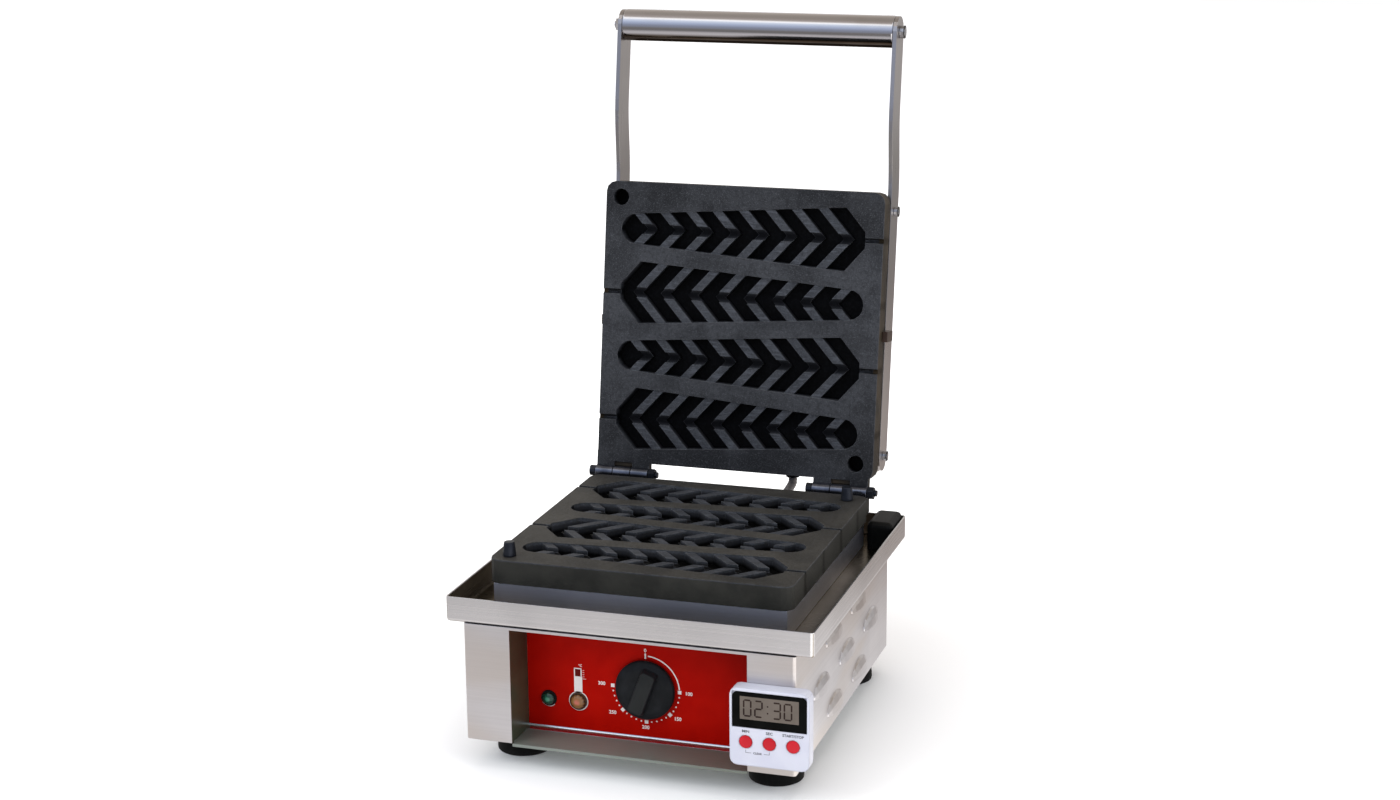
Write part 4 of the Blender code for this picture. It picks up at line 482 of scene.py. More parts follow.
# A later line wins, so the hose is grey and its two glands are black
for finish, *starts in (
    (hinge_black, "hinge_", "timer_magnet", "locating_pin"),
    (bolt_steel, "thermostat_shaft", "handle_bolt", "handle_nut", "foot_screw", "arm_bolt"),
    (rubber, "foot_front", "foot_rear"),
    (knob_black, "thermostat_knob", "thermostat_body", "power_lamp_body", "heating_lamp_body"),
    (sheath_grey, "conduit"),
    (cover_black, "rear_corner_cover", "supply_gland", "conduit_gland"),
    (case_white, "timer_case", "terminal_block"),
    (button_red, "timer_button"),
    (window_black, "timer_window"),
    (lcd_grey, "timer_display"),
    (wool, "lower_insulation", "upper_insulation"),
    (copper, "thermostat_probe"),
):
    dress(finish, *starts)
print("finishes so far:", len(bpy.data.materials))

# %% [markdown]
# ## The red panel and its lamps
#
# The panel is a thin red plate with white print. Its red is very even, with a soft sheen and a faint orange
# peel. Prints aren't painted into the colour here: each one is a sheet a few hundredths of a millimetre thick
# on the panel, so that it stays sharp however close one looks.

# %% Red panel, and lenses whose pale heart is a painted glow
PANEL_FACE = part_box("control_fascia")[0].y
panel_red = moulded(
    "panel_red", (0.370, 0.0030, 0.0004), (0.340, 0.0024, 0.0003), 0.46, 1400.0, 0.00001, 0.0004,
    Specular_IOR_Level=0.03,
)  # fmt: skip
dress(panel_red, "control_fascia")


def lens_finish(name, centre, radius, inner, middle, rim):
    """A tinted lens: a pale heart that is a painted glow, a ring of small facets, and a dark rim."""
    finish = Finish(name)
    right, _, up = finish.split(finish.moved(centre=centre))
    reach = (right * right + up * up).power(0.5) / radius
    facets = (up.angle_from(right) * 12.0).sine() * 0.5 + 0.5
    tone = finish.layered(
        finish.blend(reach.fade(0.20, 0.55), inner, middle),
        (reach.fade(0.70, 0.98) * (facets * 0.7 + 0.3), rim),
        (finish.noise(420.0, 1.0).fade(0.55, 0.70) * 0.4, middle),
    )
    return finish.set(
        Base_Color=tone,
        Roughness=0.12 + reach * 0.12,
        Coat_Weight=0.6,
        Coat_Roughness=0.08,
        Normal=finish.bump(facets * reach, 0.00012),
    )


amber_centre, green_centre = box_of("heating_lamp_lens")[2], box_of("power_lamp_lens")[2]
AMBER_COLOURS = ((0.46, 0.10, 0.055), (0.24, 0.105, 0.030), (0.050, 0.024, 0.010))
GREEN_COLOURS = ((0.040, 0.22, 0.13), (0.003, 0.045, 0.022), (0.001, 0.012, 0.006))
amber = lens_finish("amber_lens", amber_centre, 0.006, *AMBER_COLOURS)
green = lens_finish("green_lens", green_centre, 0.0052, *GREEN_COLOURS)
amber_rim = moulded("amber_rim", (0.070, 0.030, 0.012), (0.040, 0.018, 0.008), 0.35, 600.0, 0.00001, **SATIN)
dress(amber, "heating_lamp_lens")
dress(green, "power_lamp_lens")
print("lamps are", round((amber_centre - green_centre).length * 1000, 1), "mm apart")

# %% [markdown]
# ## Turned pieces
#
# Feet, lenses, bezels, buttons, pins and the handle are turned on a lathe or moulded round. The CAD model keeps
# them at twelve or twenty-four sides, which shows at their outlines. A profile of radius and height, spun
# round an axis in 64 steps, gives the same piece with a smooth outline and its real small roundings.


def add_piece(name, mesh, finish, body, slot_name, *stands_for, smooth=40.0):
    """Links a finished mesh as a piece of the machine, which moves with a body of the CAD model."""
    mesh.name = name
    if finish:
        mesh.materials.clear()
        mesh.materials.append(finish.material)
    if smooth:
        mesh.shade_smooth()
        mesh.set_sharp_from_angle(angle=math.radians(smooth))
    piece = new_object(name, mesh)
    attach(piece, body)
    if stands_for:
        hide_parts(*stands_for)


def made_mesh(shape):
    """Turns a bmesh into a mesh whose faces point outwards."""
    bmesh.ops.recalc_face_normals(shape, faces=shape.faces)
    mesh = bpy.data.meshes.new("new_mesh")
    shape.to_mesh(mesh)
    shape.free()
    return mesh


def spin(profile, foot, axis, steps):
    """A shape from a profile of (radius, height) that runs from the top down its outer side."""
    shape = bmesh.new()
    turn = axis.to_track_quat("Z", "Y").to_matrix()
    rings = []
    for radius, height in profile:
        angles = [2 * math.pi * step / steps for step in range(steps if radius > 1e-6 else 1)]
        spots = [Vector((radius * math.cos(angle), radius * math.sin(angle), height)) for angle in angles]
        rings.append([shape.verts.new(foot + turn @ spot) for spot in spots])
    if len(rings[0]) > 1:
        rings.append(rings[0])
    for upper, lower in zip(rings, rings[1:]):
        for step in range(steps):
            sides = ((upper, step), (upper, step + 1), (lower, step + 1), (lower, step))
            shape.faces.new(list(dict.fromkeys(ring[at % len(ring)] for ring, at in sides)))
    return shape


def add_turned(name, profile, foot, axis, *finish_and_rest, steps=64):
    """Adds a piece that is spun from a profile. What follows the axis is what add_piece takes after the mesh."""
    add_piece(name, made_mesh(spin(profile, foot, axis, steps)), *finish_and_rest)


def rounded_profile(corners, radius, steps=4):
    """The same profile with each of its inner corners rounded off."""
    corners = [Vector(corner) for corner in corners]
    rounded = [corners[0]]
    for before, corner, after in zip(corners, corners[1:], corners[2:]):
        reach = min(radius, (before - corner).length * 0.45, (after - corner).length * 0.45)
        start = corner + (before - corner).normalized() * reach
        end = corner + (after - corner).normalized() * reach
        for step in range(steps + 1):
            t = step / steps
            rounded.append(start.lerp(corner, t).lerp(corner.lerp(end, t), t))
    return [tuple(point) for point in rounded + [corners[-1]]]


# %% Feet, lenses, bezels, buttons and pins
FOOT = [
    (0.0, 0.0219), (0.0203, 0.0219), (0.0216, 0.0120), (0.0224, 0.0042),
    (0.0224, 0.0), (0.0062, 0.0), (0.0060, 0.0120), (0.0, 0.0120),
]  # fmt: skip
foot_shape = rounded_profile(FOOT, 0.0022)
for name in [name for name in nodes if name.startswith(("foot_front", "foot_rear"))]:
    low, high, centre = box_of(name)
    foot = Vector((centre.x, centre.y, 0.0))
    add_turned(name + "_moulded", foot_shape, foot, UP, rubber, "root", "black_rubber", name)

LENS_RISE = 0.0028
BEZEL = ((0.0002, 0.0), (0.0002, 0.0016), (0.0012, 0.0016), (0.0014, 0.0))
for name, radius, finish, rim, slot_name in (
    ("heating_lamp", 0.0061, amber, amber_rim, "orange_lens"),
    ("power_lamp", 0.0053, green, knob_black, "green_lens"),
):
    low, high, centre = box_of(name + "_lens")
    turns = [math.radians(9 * step) for step in range(11)]
    dome = [(radius * math.sin(turn), LENS_RISE * math.cos(turn)) for turn in turns] + [(0.0, 0.0)]
    back = Vector((centre.x, high.y, centre.z))
    add_turned(name + "_dome", dome, back, TO_FRONT, finish, "root", slot_name, name + "_lens")
    ring = [(radius + wider, height) for wider, height in BEZEL]
    back = Vector((centre.x, PANEL_FACE, centre.z))
    add_turned(name + "_bezel", rounded_profile(ring, 0.0004), back, TO_FRONT, rim, "root", "black_plastic")

BUTTON_HEIGHT = 0.0053
button_shape = rounded_profile([(0.0, BUTTON_HEIGHT), (0.0052, 0.0046), (0.0052, 0.0), (0.0, 0.0)], 0.0012)
for which in ("minutes", "seconds", "start"):
    name = "timer_button_" + which
    low, high, centre = box_of(name)
    button = [(radius, height * (high.y - low.y) / BUTTON_HEIGHT) for radius, height in button_shape]
    back = Vector((centre.x, high.y, centre.z))
    add_turned(name + "_cap", button, back, TO_FRONT, button_red, which + "_button", "red_button", name)

PIN_BELOW_TOP = [(0.0055, 0.0112), (0.0055, 0.0104), (0.0040, 0.0103), (0.0040, 0.0), (0.0, 0.0)]
for name in ("locating_pin_front", "locating_pin_rear"):
    low, high, centre = box_of(name)
    tall, foot = high.z - low.z, Vector((centre.x, centre.y, low.z))
    pin = rounded_profile([(0.0, tall), (0.0043, tall)] + PIN_BELOW_TOP, 0.0008)
    add_turned(name + "_turned", pin, foot, UP, hinge_black, "root", "black_hinge_steel", name)

# %% [markdown]
# ## The handle
#
# The handle is a polished steel tube between the arms, so it mirrors the room: bright above, blue-grey in the
# middle and dark below. Only a very smooth tube with a low roughness gives that. Its ends get a small rolled
# lip. Its colour is also painted darker towards its underside, as painted shade and reflection: greyer in the
# middle and dark brown below, with a faint brown film here and there.

# %% Polished tube with rolled ends
polished = Finish("polished_tube")
under = -polished.facing.dot(LID_UP)
lines = polished.drawn_out((3.0, 900.0, 900.0))
film = polished.drawn_out((18.0, 60.0, 60.0), 3.0, 0.5)
# Painted shade and reflection: the colour turns grey-blue and then dark brown as the surface faces down
tone = polished.layered(
    (0.66, 0.65, 0.67),
    (under.fade(0.10, 0.45), (0.50, 0.49, 0.52)),
    (under.fade(0.50, 0.70), (0.105, 0.085, 0.070)),
    (film.fade(0.50, 0.75) * 0.25, (0.40, 0.36, 0.33)),
)
polished.set(
    Base_Color=tone,
    Metallic=1.0,
    Roughness=0.12 + (lines - 0.5) * 0.05 + film * 0.04,
    Normal=polished.bump(lines, 0.00001, polished.rounding(0.0004)),
)
low, high, centre = box_of("handle_tube")
outside, half = (high.z - low.z) / 2, (high.x - low.x) / 2
bore, lip, lip_length = outside - 0.0015, outside - 0.0004, 0.0010
tube = [
    (bore, half), (lip, half), (outside, half - lip_length), (outside, lip_length - half), (lip, -half), (bore, -half)
]  # fmt: skip
tube = rounded_profile(tube, 0.0006)
add_turned("handle_tube_polished", tube, centre, TO_RIGHT, polished, "lid", "polished_steel", "handle_tube", steps=96)
print("handle tube:", round(2 * outside * 1000, 1), "mm thick and", round(2 * half * 1000, 1), "mm long")

# %% [markdown]
# ## The knob
#
# The thermostat knob is a round skirt with a bar across it that the fingers turn. The bar leans, because the
# knob stands where the photograph shows it, a little past zero. It is modelled as one turned skirt and one
# rounded bar that narrows towards its top, and its top face is painted a little paler, as a painted highlight.

# %% A box with round corners, and walls between loops of points
def round_box(left, bottom, right, top, lower=0.0002, upper=0.0002, steps=6):
    """The outline of a box whose lower and upper corners have their own radius."""
    outline = []
    for x, z, radius, start in (
        (right - upper, top - upper, upper, 0),
        (left + upper, top - upper, upper, 90),
        (left + lower, bottom + lower, lower, 180),
        (right - lower, bottom + lower, lower, 270),
    ):
        for step in range(steps + 1):
            turn = math.radians(start + 90 * step / steps)
            outline.append((x + radius * math.cos(turn), z + radius * math.sin(turn)))
    return outline


def wall_in(shape, *loops):
    """Adds the walls from each loop of places to the next, and covers the first and the last one."""
    loops = [[shape.verts.new(place) for place in loop] for loop in loops]
    for lower, upper in zip(loops, loops[1:]):
        for index in range(len(lower)):
            following = (index + 1) % len(lower)
            shape.faces.new((lower[index], lower[following], upper[following], upper[index]))
    shape.faces.new(loops[0][::-1])
    shape.faces.new(loops[-1])


# %% Turned skirt and tapered bar
DIAL_X, DIAL_Z = 0.0031, 0.0680
KNOB_TURN = math.radians(20.5)
BAR_LENGTH, BAR_WIDTH, BAR_CORNER, BAR_FOOT = 0.0392, 0.0150, 0.0030, 0.0050
low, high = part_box("thermostat_knob")
knob_front, knob_back = low.y, high.y
bar_top = knob_back - knob_front
SKIRT = [(0.0, 0.0062), (0.0185, 0.0062), (0.0212, 0.0052), (0.0250, 0.0030), (0.0250, 0.0), (0.0225, 0.0), (0.0, 0.0)]
shape = spin(rounded_profile(SKIRT, 0.0014, 5), Vector((DIAL_X, knob_back, DIAL_Z)), TO_FRONT, 96)
loops = []
for height, inset in ((BAR_FOOT, 0.0), (bar_top - 0.0012, 0.0011), (bar_top - 0.0004, 0.0014), (bar_top, 0.0021)):
    half_x, half_z = BAR_WIDTH / 2 - inset, BAR_LENGTH / 2 - inset
    loops.append(
        [
            (
                DIAL_X + x * math.cos(KNOB_TURN) + z * math.sin(KNOB_TURN),
                knob_back - height,
                DIAL_Z - x * math.sin(KNOB_TURN) + z * math.cos(KNOB_TURN),
            )
            for x, z in round_box(-half_x, -half_z, half_x, half_z, BAR_CORNER, BAR_CORNER)
        ]
    )
wall_in(shape, *loops)

knob_finish = Finish("knob_moulded")
# Painted highlight: the bar's top face is painted paler, in soft clouds
top = (-knob_finish.split(knob_finish.place)[1]).fade(-(knob_front + 0.0006), -(knob_front + 0.0001))
cloud, grain = knob_finish.noise(70.0, 3.0), knob_finish.noise(1600.0)
tone = knob_finish.layered(
    (0.009, 0.010, 0.011),
    (cloud.fade(0.3, 0.7), (0.015, 0.016, 0.018)),
    (top * (cloud * 0.6 + 0.4), (0.021, 0.022, 0.021)),
)
bumps = knob_finish.bump(grain, 0.00003, knob_finish.rounding(0.0005))
knob_finish.set(Base_Color=tone, Roughness=0.42 + (grain - 0.5) * 0.15, Normal=bumps, **DULL)
knob_mesh = made_mesh(shape)
add_piece("thermostat_knob_moulded", knob_mesh, knob_finish, "knob", "black_plastic", "thermostat_knob", smooth=35.0)
print("knob:", len(knob_mesh.polygons), "faces")

# %% [markdown]
# ## What repeats, and what follows a path
#
# Screws, sleeves, dots and ribs are many copies of one small shape. Geometry Nodes describe such a row once:
# where the points lie, and what stands on each. The sizes are named inputs of the tree, so a row can be changed
# without touching it. Copies are only instances, so they are made real and the result is kept as a plain mesh.

# %% A Geometry Nodes tree with named sizes
class Row(Tree):
    """A Geometry Nodes tree, whose inputs are named after the sizes that it is given."""

    def __init__(self, name, **sizes):
        self.group = bpy.data.node_groups.new(name, "GeometryNodeTree")
        super().__init__(self.group)
        self.sizes = sizes
        for in_out in ("INPUT", "OUTPUT"):
            self.group.interface.new_socket("Geometry", in_out=in_out, socket_type="NodeSocketGeometry")
        for size, value in sizes.items():
            kind = "NodeSocketInt" if isinstance(value, int) else "NodeSocketFloat"
            self.group.interface.new_socket(size, in_out="INPUT", socket_type=kind)
        self.given = self.node("NodeGroupInput")

    def size(self, name):
        return self.given.out(name)

    def spot(self, right, back, up):
        return self.node("ShaderNodeCombineXYZ", None, {"X": right, "Y": back, "Z": up})

    def points(self, place):
        return self.node("GeometryNodePoints", None, {"Count": self.size("Count"), "Position": place})

    def block(self, width, depth, height):
        return self.node("GeometryNodeMeshCube", None, {"Size": self.spot(width, depth, height)})

    def rod(self, radius, length, turn, sides=32):
        """A round rod whose axis is upright before the turn."""
        rod = self.node("GeometryNodeMeshCylinder", None, {"Vertices": sides, "Radius": radius, "Depth": length})
        return self.node("GeometryNodeTransform", None, {"Geometry": rod, "Rotation": turn})

    def stand(self, shape, points, **sockets):
        return self.node("GeometryNodeInstanceOnPoints", None, {"Points": points, "Instance": shape, **sockets})

    def made(self, geometry, finish, start=()):
        """The plain mesh that the tree makes of the start points, which are joined in a line."""
        real = self.node("GeometryNodeRealizeInstances", None, {"Geometry": geometry})
        done = self.node("GeometryNodeSetMaterial", None, {"Geometry": real, "Material": finish.material})
        self.node("NodeGroupOutput", None, {"Geometry": done})
        line = bpy.data.meshes.new(self.group.name)
        line.from_pydata(list(start), [(index, index + 1) for index in range(len(start) - 1)], [])
        carrier = new_object(self.group.name, line)
        modifier = carrier.modifiers.new("row", "NODES")
        modifier.node_group = self.group
        for socket in self.group.interface.items_tree:
            if socket.in_out == "INPUT" and socket.name in self.sizes:
                modifier[socket.identifier] = self.sizes[socket.name]
        mesh = plain_mesh(carrier)
        print(self.group.name + ":", len(mesh.polygons), "faces")
        return mesh

    def piece(self, geometry, finish, body, slot_name, start=(), smooth=None):
        add_piece(self.group.name, self.made(geometry, finish, start), None, body, slot_name, smooth=smooth)


# %% Bolts of the arms and the handle
ROD_TO_RIGHT, ROD_TO_FRONT = (0.0, QUARTER, 0.0), (QUARTER, 0.0, 0.0)
dark_rim = moulded("bolt_rim", (0.030, 0.028, 0.027), (0.060, 0.055, 0.050), 0.45, 700.0, Metallic=0.8)
bolt_faces = []
for name in [name for name in nodes if name.startswith("arm_bolt_")]:
    low, high, centre = box_of(name)
    bolt_faces.append((high.x - 0.0001 if "right" in name else low.x + 0.0001, centre.y, centre.z))
low, high, centre = box_of("handle_bolt")
tie_face = [(high.x, centre.y, centre.z)]
for name, start, radius, thickness, finish, slot_name in (
    ("arm_bolt_washers", bolt_faces, 0.0045, 0.0004, dark_rim, "black_hinge_steel"),
    ("arm_bolt_hearts", bolt_faces, 0.0028, 0.0012, bolt_steel, "brushed_steel"),
    ("tie_bolt_rim", tie_face, 0.0057, 0.0004, dark_rim, "black_hinge_steel"),
    ("tie_bolt_heart", tie_face, 0.0040, 0.0012, bolt_steel, "brushed_steel"),
):
    row = Row(name, Radius=radius, Thickness=thickness)
    disc = row.rod(row.size("Radius"), row.size("Thickness"), ROD_TO_RIGHT, 40)
    row.piece(row.stand(disc, row.given), finish, "lid", slot_name, start, 35.0)

# %% Sleeves of the hinges
hinge_satin = moulded(
    "hinge_satin", (0.185, 0.195, 0.235), (0.100, 0.108, 0.135), 0.17, 500.0, 0.00002, 0.0010, Metallic=0.95
)
SLEEVE_PITCH, SLEEVE_LENGTH, SLEEVE_RADIUS = 0.0166, 0.0158, 0.00555
HINGE_XS = (-0.1025, 0.0985)
for name, body, places in (
    ("hinge_sleeves_outer", "lid", [x + side * SLEEVE_PITCH for x in HINGE_XS for side in (-1, 1)]),
    ("hinge_sleeves_middle", "root", HINGE_XS),
):
    row = Row(name, Radius=SLEEVE_RADIUS, Length=SLEEVE_LENGTH)
    sleeve = row.rod(row.size("Radius"), row.size("Length"), ROD_TO_RIGHT, 48)
    start = [(x, HINGE.y, HINGE.z) for x in places]
    row.piece(row.stand(sleeve, row.given), hinge_satin, body, "black_hinge_steel", start, 35.0)

# %% A lip on each of the lid's ears, which closes over the middle sleeve: a dark block that stands in for the shade in the gap there
LIP_HALF, LIP_BACK, LIP_UP = 0.0083, (-0.0080, -0.0040), (0.0042, 0.0060)
OPEN = QUARTER + LID_TILT


def opened(x, back, up):
    """Where a point of the closed lid lies once the lid is open. back and up are counted from the hinge's axis."""
    return Vector(
        (
            x,
            HINGE.y + back * math.cos(OPEN) + up * math.sin(OPEN),
            HINGE.z - back * math.sin(OPEN) + up * math.cos(OPEN),
        )
    )


shade_lips = bmesh.new()
for x in HINGE_XS:
    for vert in bmesh.ops.create_cube(shade_lips, size=1.0)["verts"]:
        side = LIP_HALF if vert.co.x > 0 else -LIP_HALF
        vert.co = opened(x + side, LIP_BACK[vert.co.y > 0], LIP_UP[vert.co.z > 0])
add_piece("hinge_lips", made_mesh(shade_lips), upper_iron, "lid", "cast_iron", smooth=None)
print("lips:", len(HINGE_XS), "each", round(2 * LIP_HALF * 1000, 1), "mm long")

# %% [markdown]
# ## The conduit
#
# The wires of the lid's element run in a grey ribbed hose, which leaves the body low at the back and goes into
# the lid's housing in a loop, so that the lid can close. The hose is a fixed length of something flexible. Its
# middle line is a smooth curve through a few points, and its ribs are a wave in the radius along that line.

# %% The hose's route, from the gland in the body to the gland in the lid
HOSE_RADIUS, SEAT, GLAND_LENGTH, LOOP_DEPTH = 0.0040, 0.0060, 0.0103, 0.0420
# The gland in the body's back, and the one in the closed lid's back, counted from the hinge's axis
BASE_GLAND, LID_GLAND = Vector((0.0120, 0.1168805, 0.0947)), Vector((0.0450, -0.0132995, 0.0382))
seats = (GLAND_LENGTH - SEAT, GLAND_LENGTH, GLAND_LENGTH + SEAT)
base_end = [BASE_GLAND + Vector((0.0, distance, 0.0)) for distance in seats]
lid_end = [opened(LID_GLAND.x, LID_GLAND.y + distance, LID_GLAND.z) for distance in reversed(seats)]
leave, arrive = base_end[-1], lid_end[0]
LOOP_SHARES = ((0.02, 0.45, -0.04), (0.10, 0.90, 0.03), (0.26, 1.00, 0.27), (0.46, 0.72, 0.52), (0.68, 0.34, 0.75))
loop = [
    Vector((leave.x + a * (arrive.x - leave.x), leave.y + b * LOOP_DEPTH, leave.z + c * (arrive.z - leave.z)))
    for a, b, c in LOOP_SHARES
]
corners = base_end + loop + lid_end
ends = [2 * corners[0] - corners[1]] + corners + [2 * corners[-1] - corners[-2]]
ROUTE_STEPS = 40
route = []
for step in range(ROUTE_STEPS + 1):
    reach = step * (len(corners) - 1) / ROUTE_STEPS
    span = min(int(reach), len(corners) - 2)
    t = reach - span
    a, b, c, d = ends[span : span + 4]
    route.append((2 * b + (c - a) * t + (2 * a - 5 * b + 4 * c - d) * t * t + (3 * b - a - 3 * c + d) * t**3) / 2)

# %% Ribs along the route
row = Row("hose_ribs", Radius=HOSE_RADIUS, Pitch=0.0024, Depth=0.05, Step=0.0004)
line = row.node("GeometryNodeMeshToCurve", None, {"Mesh": row.given})
line = row.node("GeometryNodeResampleCurve", {"mode": "LENGTH"}, {"Curve": line, "Length": row.size("Step")})
travelled = row.node("GeometryNodeSplineParameter").out("Length")
wave = (travelled / row.size("Pitch") * (2 * math.pi)).sine()
swell = 1.0 - row.size("Depth") + wave * row.size("Depth")
ring = row.node("GeometryNodeCurvePrimitiveCircle", None, {"Resolution": 20, "Radius": row.size("Radius")})
sockets = {"Curve": line, "Profile Curve": ring, "Scale": swell, "Fill Caps": True}
hose_mesh = row.made(row.node("GeometryNodeCurveToMesh", None, sockets), sheath_grey, route)
hose_mesh.shade_smooth()
hose_piece = new_object("conduit_ribbed", hose_mesh)
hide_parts("conduit")
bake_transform(hose_piece)

# %% [markdown]
# ## Prints
#
# The white print of the panel and the grey words on the timer are ink. Each is made as a sheet a twentieth of a
# millimetre thick, so its edge stays sharp from any distance. Words come from a text curve, which is turned into
# a mesh before it is put in its place. The dial's dots are a row bent round the knob.

# %% Ink shapes: a band round a centre, a word, and a piece of many outlines and words
INK = 0.00005
CAPITAL_SHARE, BOLD_SHARE = 0.72, 0.035


def band(x, z, inner, outer, start, end, steps=24):
    """The outline of a band between two radii, from one angle to another, in degrees."""
    turns = [math.radians(start + (end - start) * step / steps) for step in range(steps + 1)]
    return [(x + outer * math.cos(t), z + outer * math.sin(t)) for t in turns] + [
        (x + inner * math.cos(t), z + inner * math.sin(t)) for t in reversed(turns)
    ]


def ink_word(shape, word, x, z, capital, face, width=1.0):
    """Puts a word into the shape, centred on a place, with capitals of a height in metres."""
    curve = bpy.data.curves.new("word", "FONT")
    curve.body, curve.size, curve.extrude, curve.resolution_u = word, capital / CAPITAL_SHARE, INK, 3
    curve.offset = capital * BOLD_SHARE
    curve.align_x, curve.align_y = "CENTER", "CENTER"
    mesh = plain_mesh(new_object("word", curve))
    stretch = Matrix.Diagonal((width, 1.0, 1.0, 1.0))
    mesh.transform(Matrix.Translation((x, face, z)) @ Matrix.Rotation(QUARTER, 4, "X") @ stretch)
    shape.from_mesh(mesh)
    bpy.data.meshes.remove(mesh)


def ink_piece(name, finish, body, slot_name, face, outlines, words=(), *stands_for, thick=INK, smooth=None):
    """One piece of all the outlines and words that share a finish, half sunk into a face of the machine."""
    shape = bmesh.new()
    for outline in outlines:
        wall_in(shape, *([(x, face + side, z) for x, z in outline] for side in (-thick, thick)))
    for word in words:
        ink_word(shape, *word[:4], face, *word[4:])
    add_piece(name, made_mesh(shape), finish, body, slot_name, *stands_for, smooth=smooth)


# %% The dial: dots, squares, arc and numbers
SIZES = {"Count": 21, "Every": 5, "Step": math.radians(9.0), "Reach": 0.0283, "Dot": 0.00068, "Square": 0.0030}
row = Row("dial_dots", **SIZES, Thickness=2 * INK)
index = row.node("GeometryNodeInputIndex")
turn = -(index * row.size("Step"))
reach, square, thickness = row.size("Reach"), row.size("Square"), row.size("Thickness")
points = row.points(row.spot(turn.cosine() * reach + DIAL_X, PANEL_FACE, turn.sine() * reach + DIAL_Z))
between = index.remainder(row.size("Every")).above(0.5)
dots = row.stand(row.rod(row.size("Dot"), thickness, ROD_TO_FRONT, 16), points, Selection=between)
turned_back = row.spot(0.0, -turn, 0.0)
squares = row.stand(row.block(square, thickness, square), points, Selection=1.0 - between, Rotation=turned_back)
both = row.node("GeometryNodeJoinGeometry", None, {"Geometry": dots})
row.inside.links.new(squares.socket, both.socket.node.inputs["Geometry"])
row.piece(both, print_white, "root", "white_plastic")

ZERO_MARK = round_box(DIAL_X - 0.0009, DIAL_Z + 0.0256, DIAL_X + 0.0004, DIAL_Z + 0.0302)
NUMBER_HEIGHT = 0.0030
numbers = [
    (number, x, z, NUMBER_HEIGHT)
    for number, x, z in (
        ("0", 0.0028, 0.1006), ("100", 0.0391, 0.0675), ("150", 0.0296, 0.0450),
        ("200", 0.0024, 0.0349), ("250", -0.0257, 0.0447), ("300", -0.0347, 0.0687),
    )
]  # fmt: skip
marks = [band(DIAL_X, DIAL_Z, 0.0277, 0.0287, 86, 4, 48), ZERO_MARK]
ink_piece("dial_arc_and_numbers", print_white, "root", "white_plastic", PANEL_FACE, marks, numbers)

# %% The thermometer round the orange lamp, and its ticks
LAMP_X, LAMP_Z = amber_centre.x, amber_centre.z
marks = [band(LAMP_X, LAMP_Z, 0.0072, 0.0083, start, start + 180) for start in (0, 180)]
marks.append(band(green_centre.x, green_centre.z, 0.0068, 0.0074, 215, 312))
for left, bottom, right, top, lower, upper in (
    (-0.0035, 0.0073, 0.0035, 0.0212, 0.0002, 0.0002),
    (-0.0035, 0.0210, -0.0026, 0.0282, 0.0001, 0.0003),
    (0.0022, 0.0210, 0.0031, 0.0282, 0.0001, 0.0003),
    (-0.0035, 0.0275, 0.0031, 0.0284, 0.0001, 0.0003),
):
    marks.append(round_box(LAMP_X + left, LAMP_Z + bottom, LAMP_X + right, LAMP_Z + top, lower, upper))
degrees = [("°C", LAMP_X + 0.0020, LAMP_Z + 0.0306, 0.0020)]
window = [round_box(LAMP_X - 0.0026, LAMP_Z + 0.0212, LAMP_X + 0.0022, LAMP_Z + 0.0275, 0.0001, 0.0001)]
ink_piece("thermometer_print", print_white, "root", "white_plastic", PANEL_FACE, marks, degrees)
ink_piece("thermometer_window", print_red, "root", "red_fascia", PANEL_FACE, window)

row = Row("thermometer_ticks", Count=5, Spacing=0.0018, Length=0.0015, Width=0.0003, Thickness=2 * INK)
index = row.node("GeometryNodeInputIndex")
longer = 1.0 - index.above(0.5)
length, spacing = row.size("Length"), row.size("Spacing")
points = row.points(
    row.spot(longer * (length * 0.5) + (LAMP_X + 0.0046), PANEL_FACE, index * spacing + (LAMP_Z + 0.0195))
)
tick = row.block(length, row.size("Thickness"), row.size("Width"))
row.piece(row.stand(tick, points, Scale=row.spot(longer + 1.0, 1.0, 1.0)), print_white, "root", "white_plastic")

# %% The bright bend at the foot of the panel
BEND_DEPTH, BEND_RISE, BEND_STEPS = 0.0052, 0.0029, 8
recess_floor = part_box("base_plate")[1].z
behind_panel = panel_low.y + 0.0006
section = []
for step in range(BEND_STEPS + 1):
    turn = QUARTER * step / BEND_STEPS
    depth, rise = BEND_DEPTH * (1 - math.sin(turn)), BEND_RISE * (1 - math.cos(turn))
    section.append((panel_low.y - depth, recess_floor + rise + 0.0001))
section += [(behind_panel, section[-1][1]), (behind_panel, recess_floor), (panel_low.y - BEND_DEPTH, recess_floor)]
bend = bmesh.new()
wall_in(bend, *([(x, y, z) for y, z in section] for x in (panel_low.x + 0.0005, panel_high.x - 0.0005)))
add_piece("panel_foot_bend", made_mesh(bend), bend_steel, "root", "brushed_steel", smooth=50.0)
print("bend:", round((panel_high.x - panel_low.x) * 1000, 1), "mm long")

# %% [markdown]
# ## The timer's front
#
# The timer's dark window is rounded at its upper corners only. Behind it the display shows four digits of seven
# strokes each. A stroke is a small hexagon, and a digit is the list of its strokes that are lit.

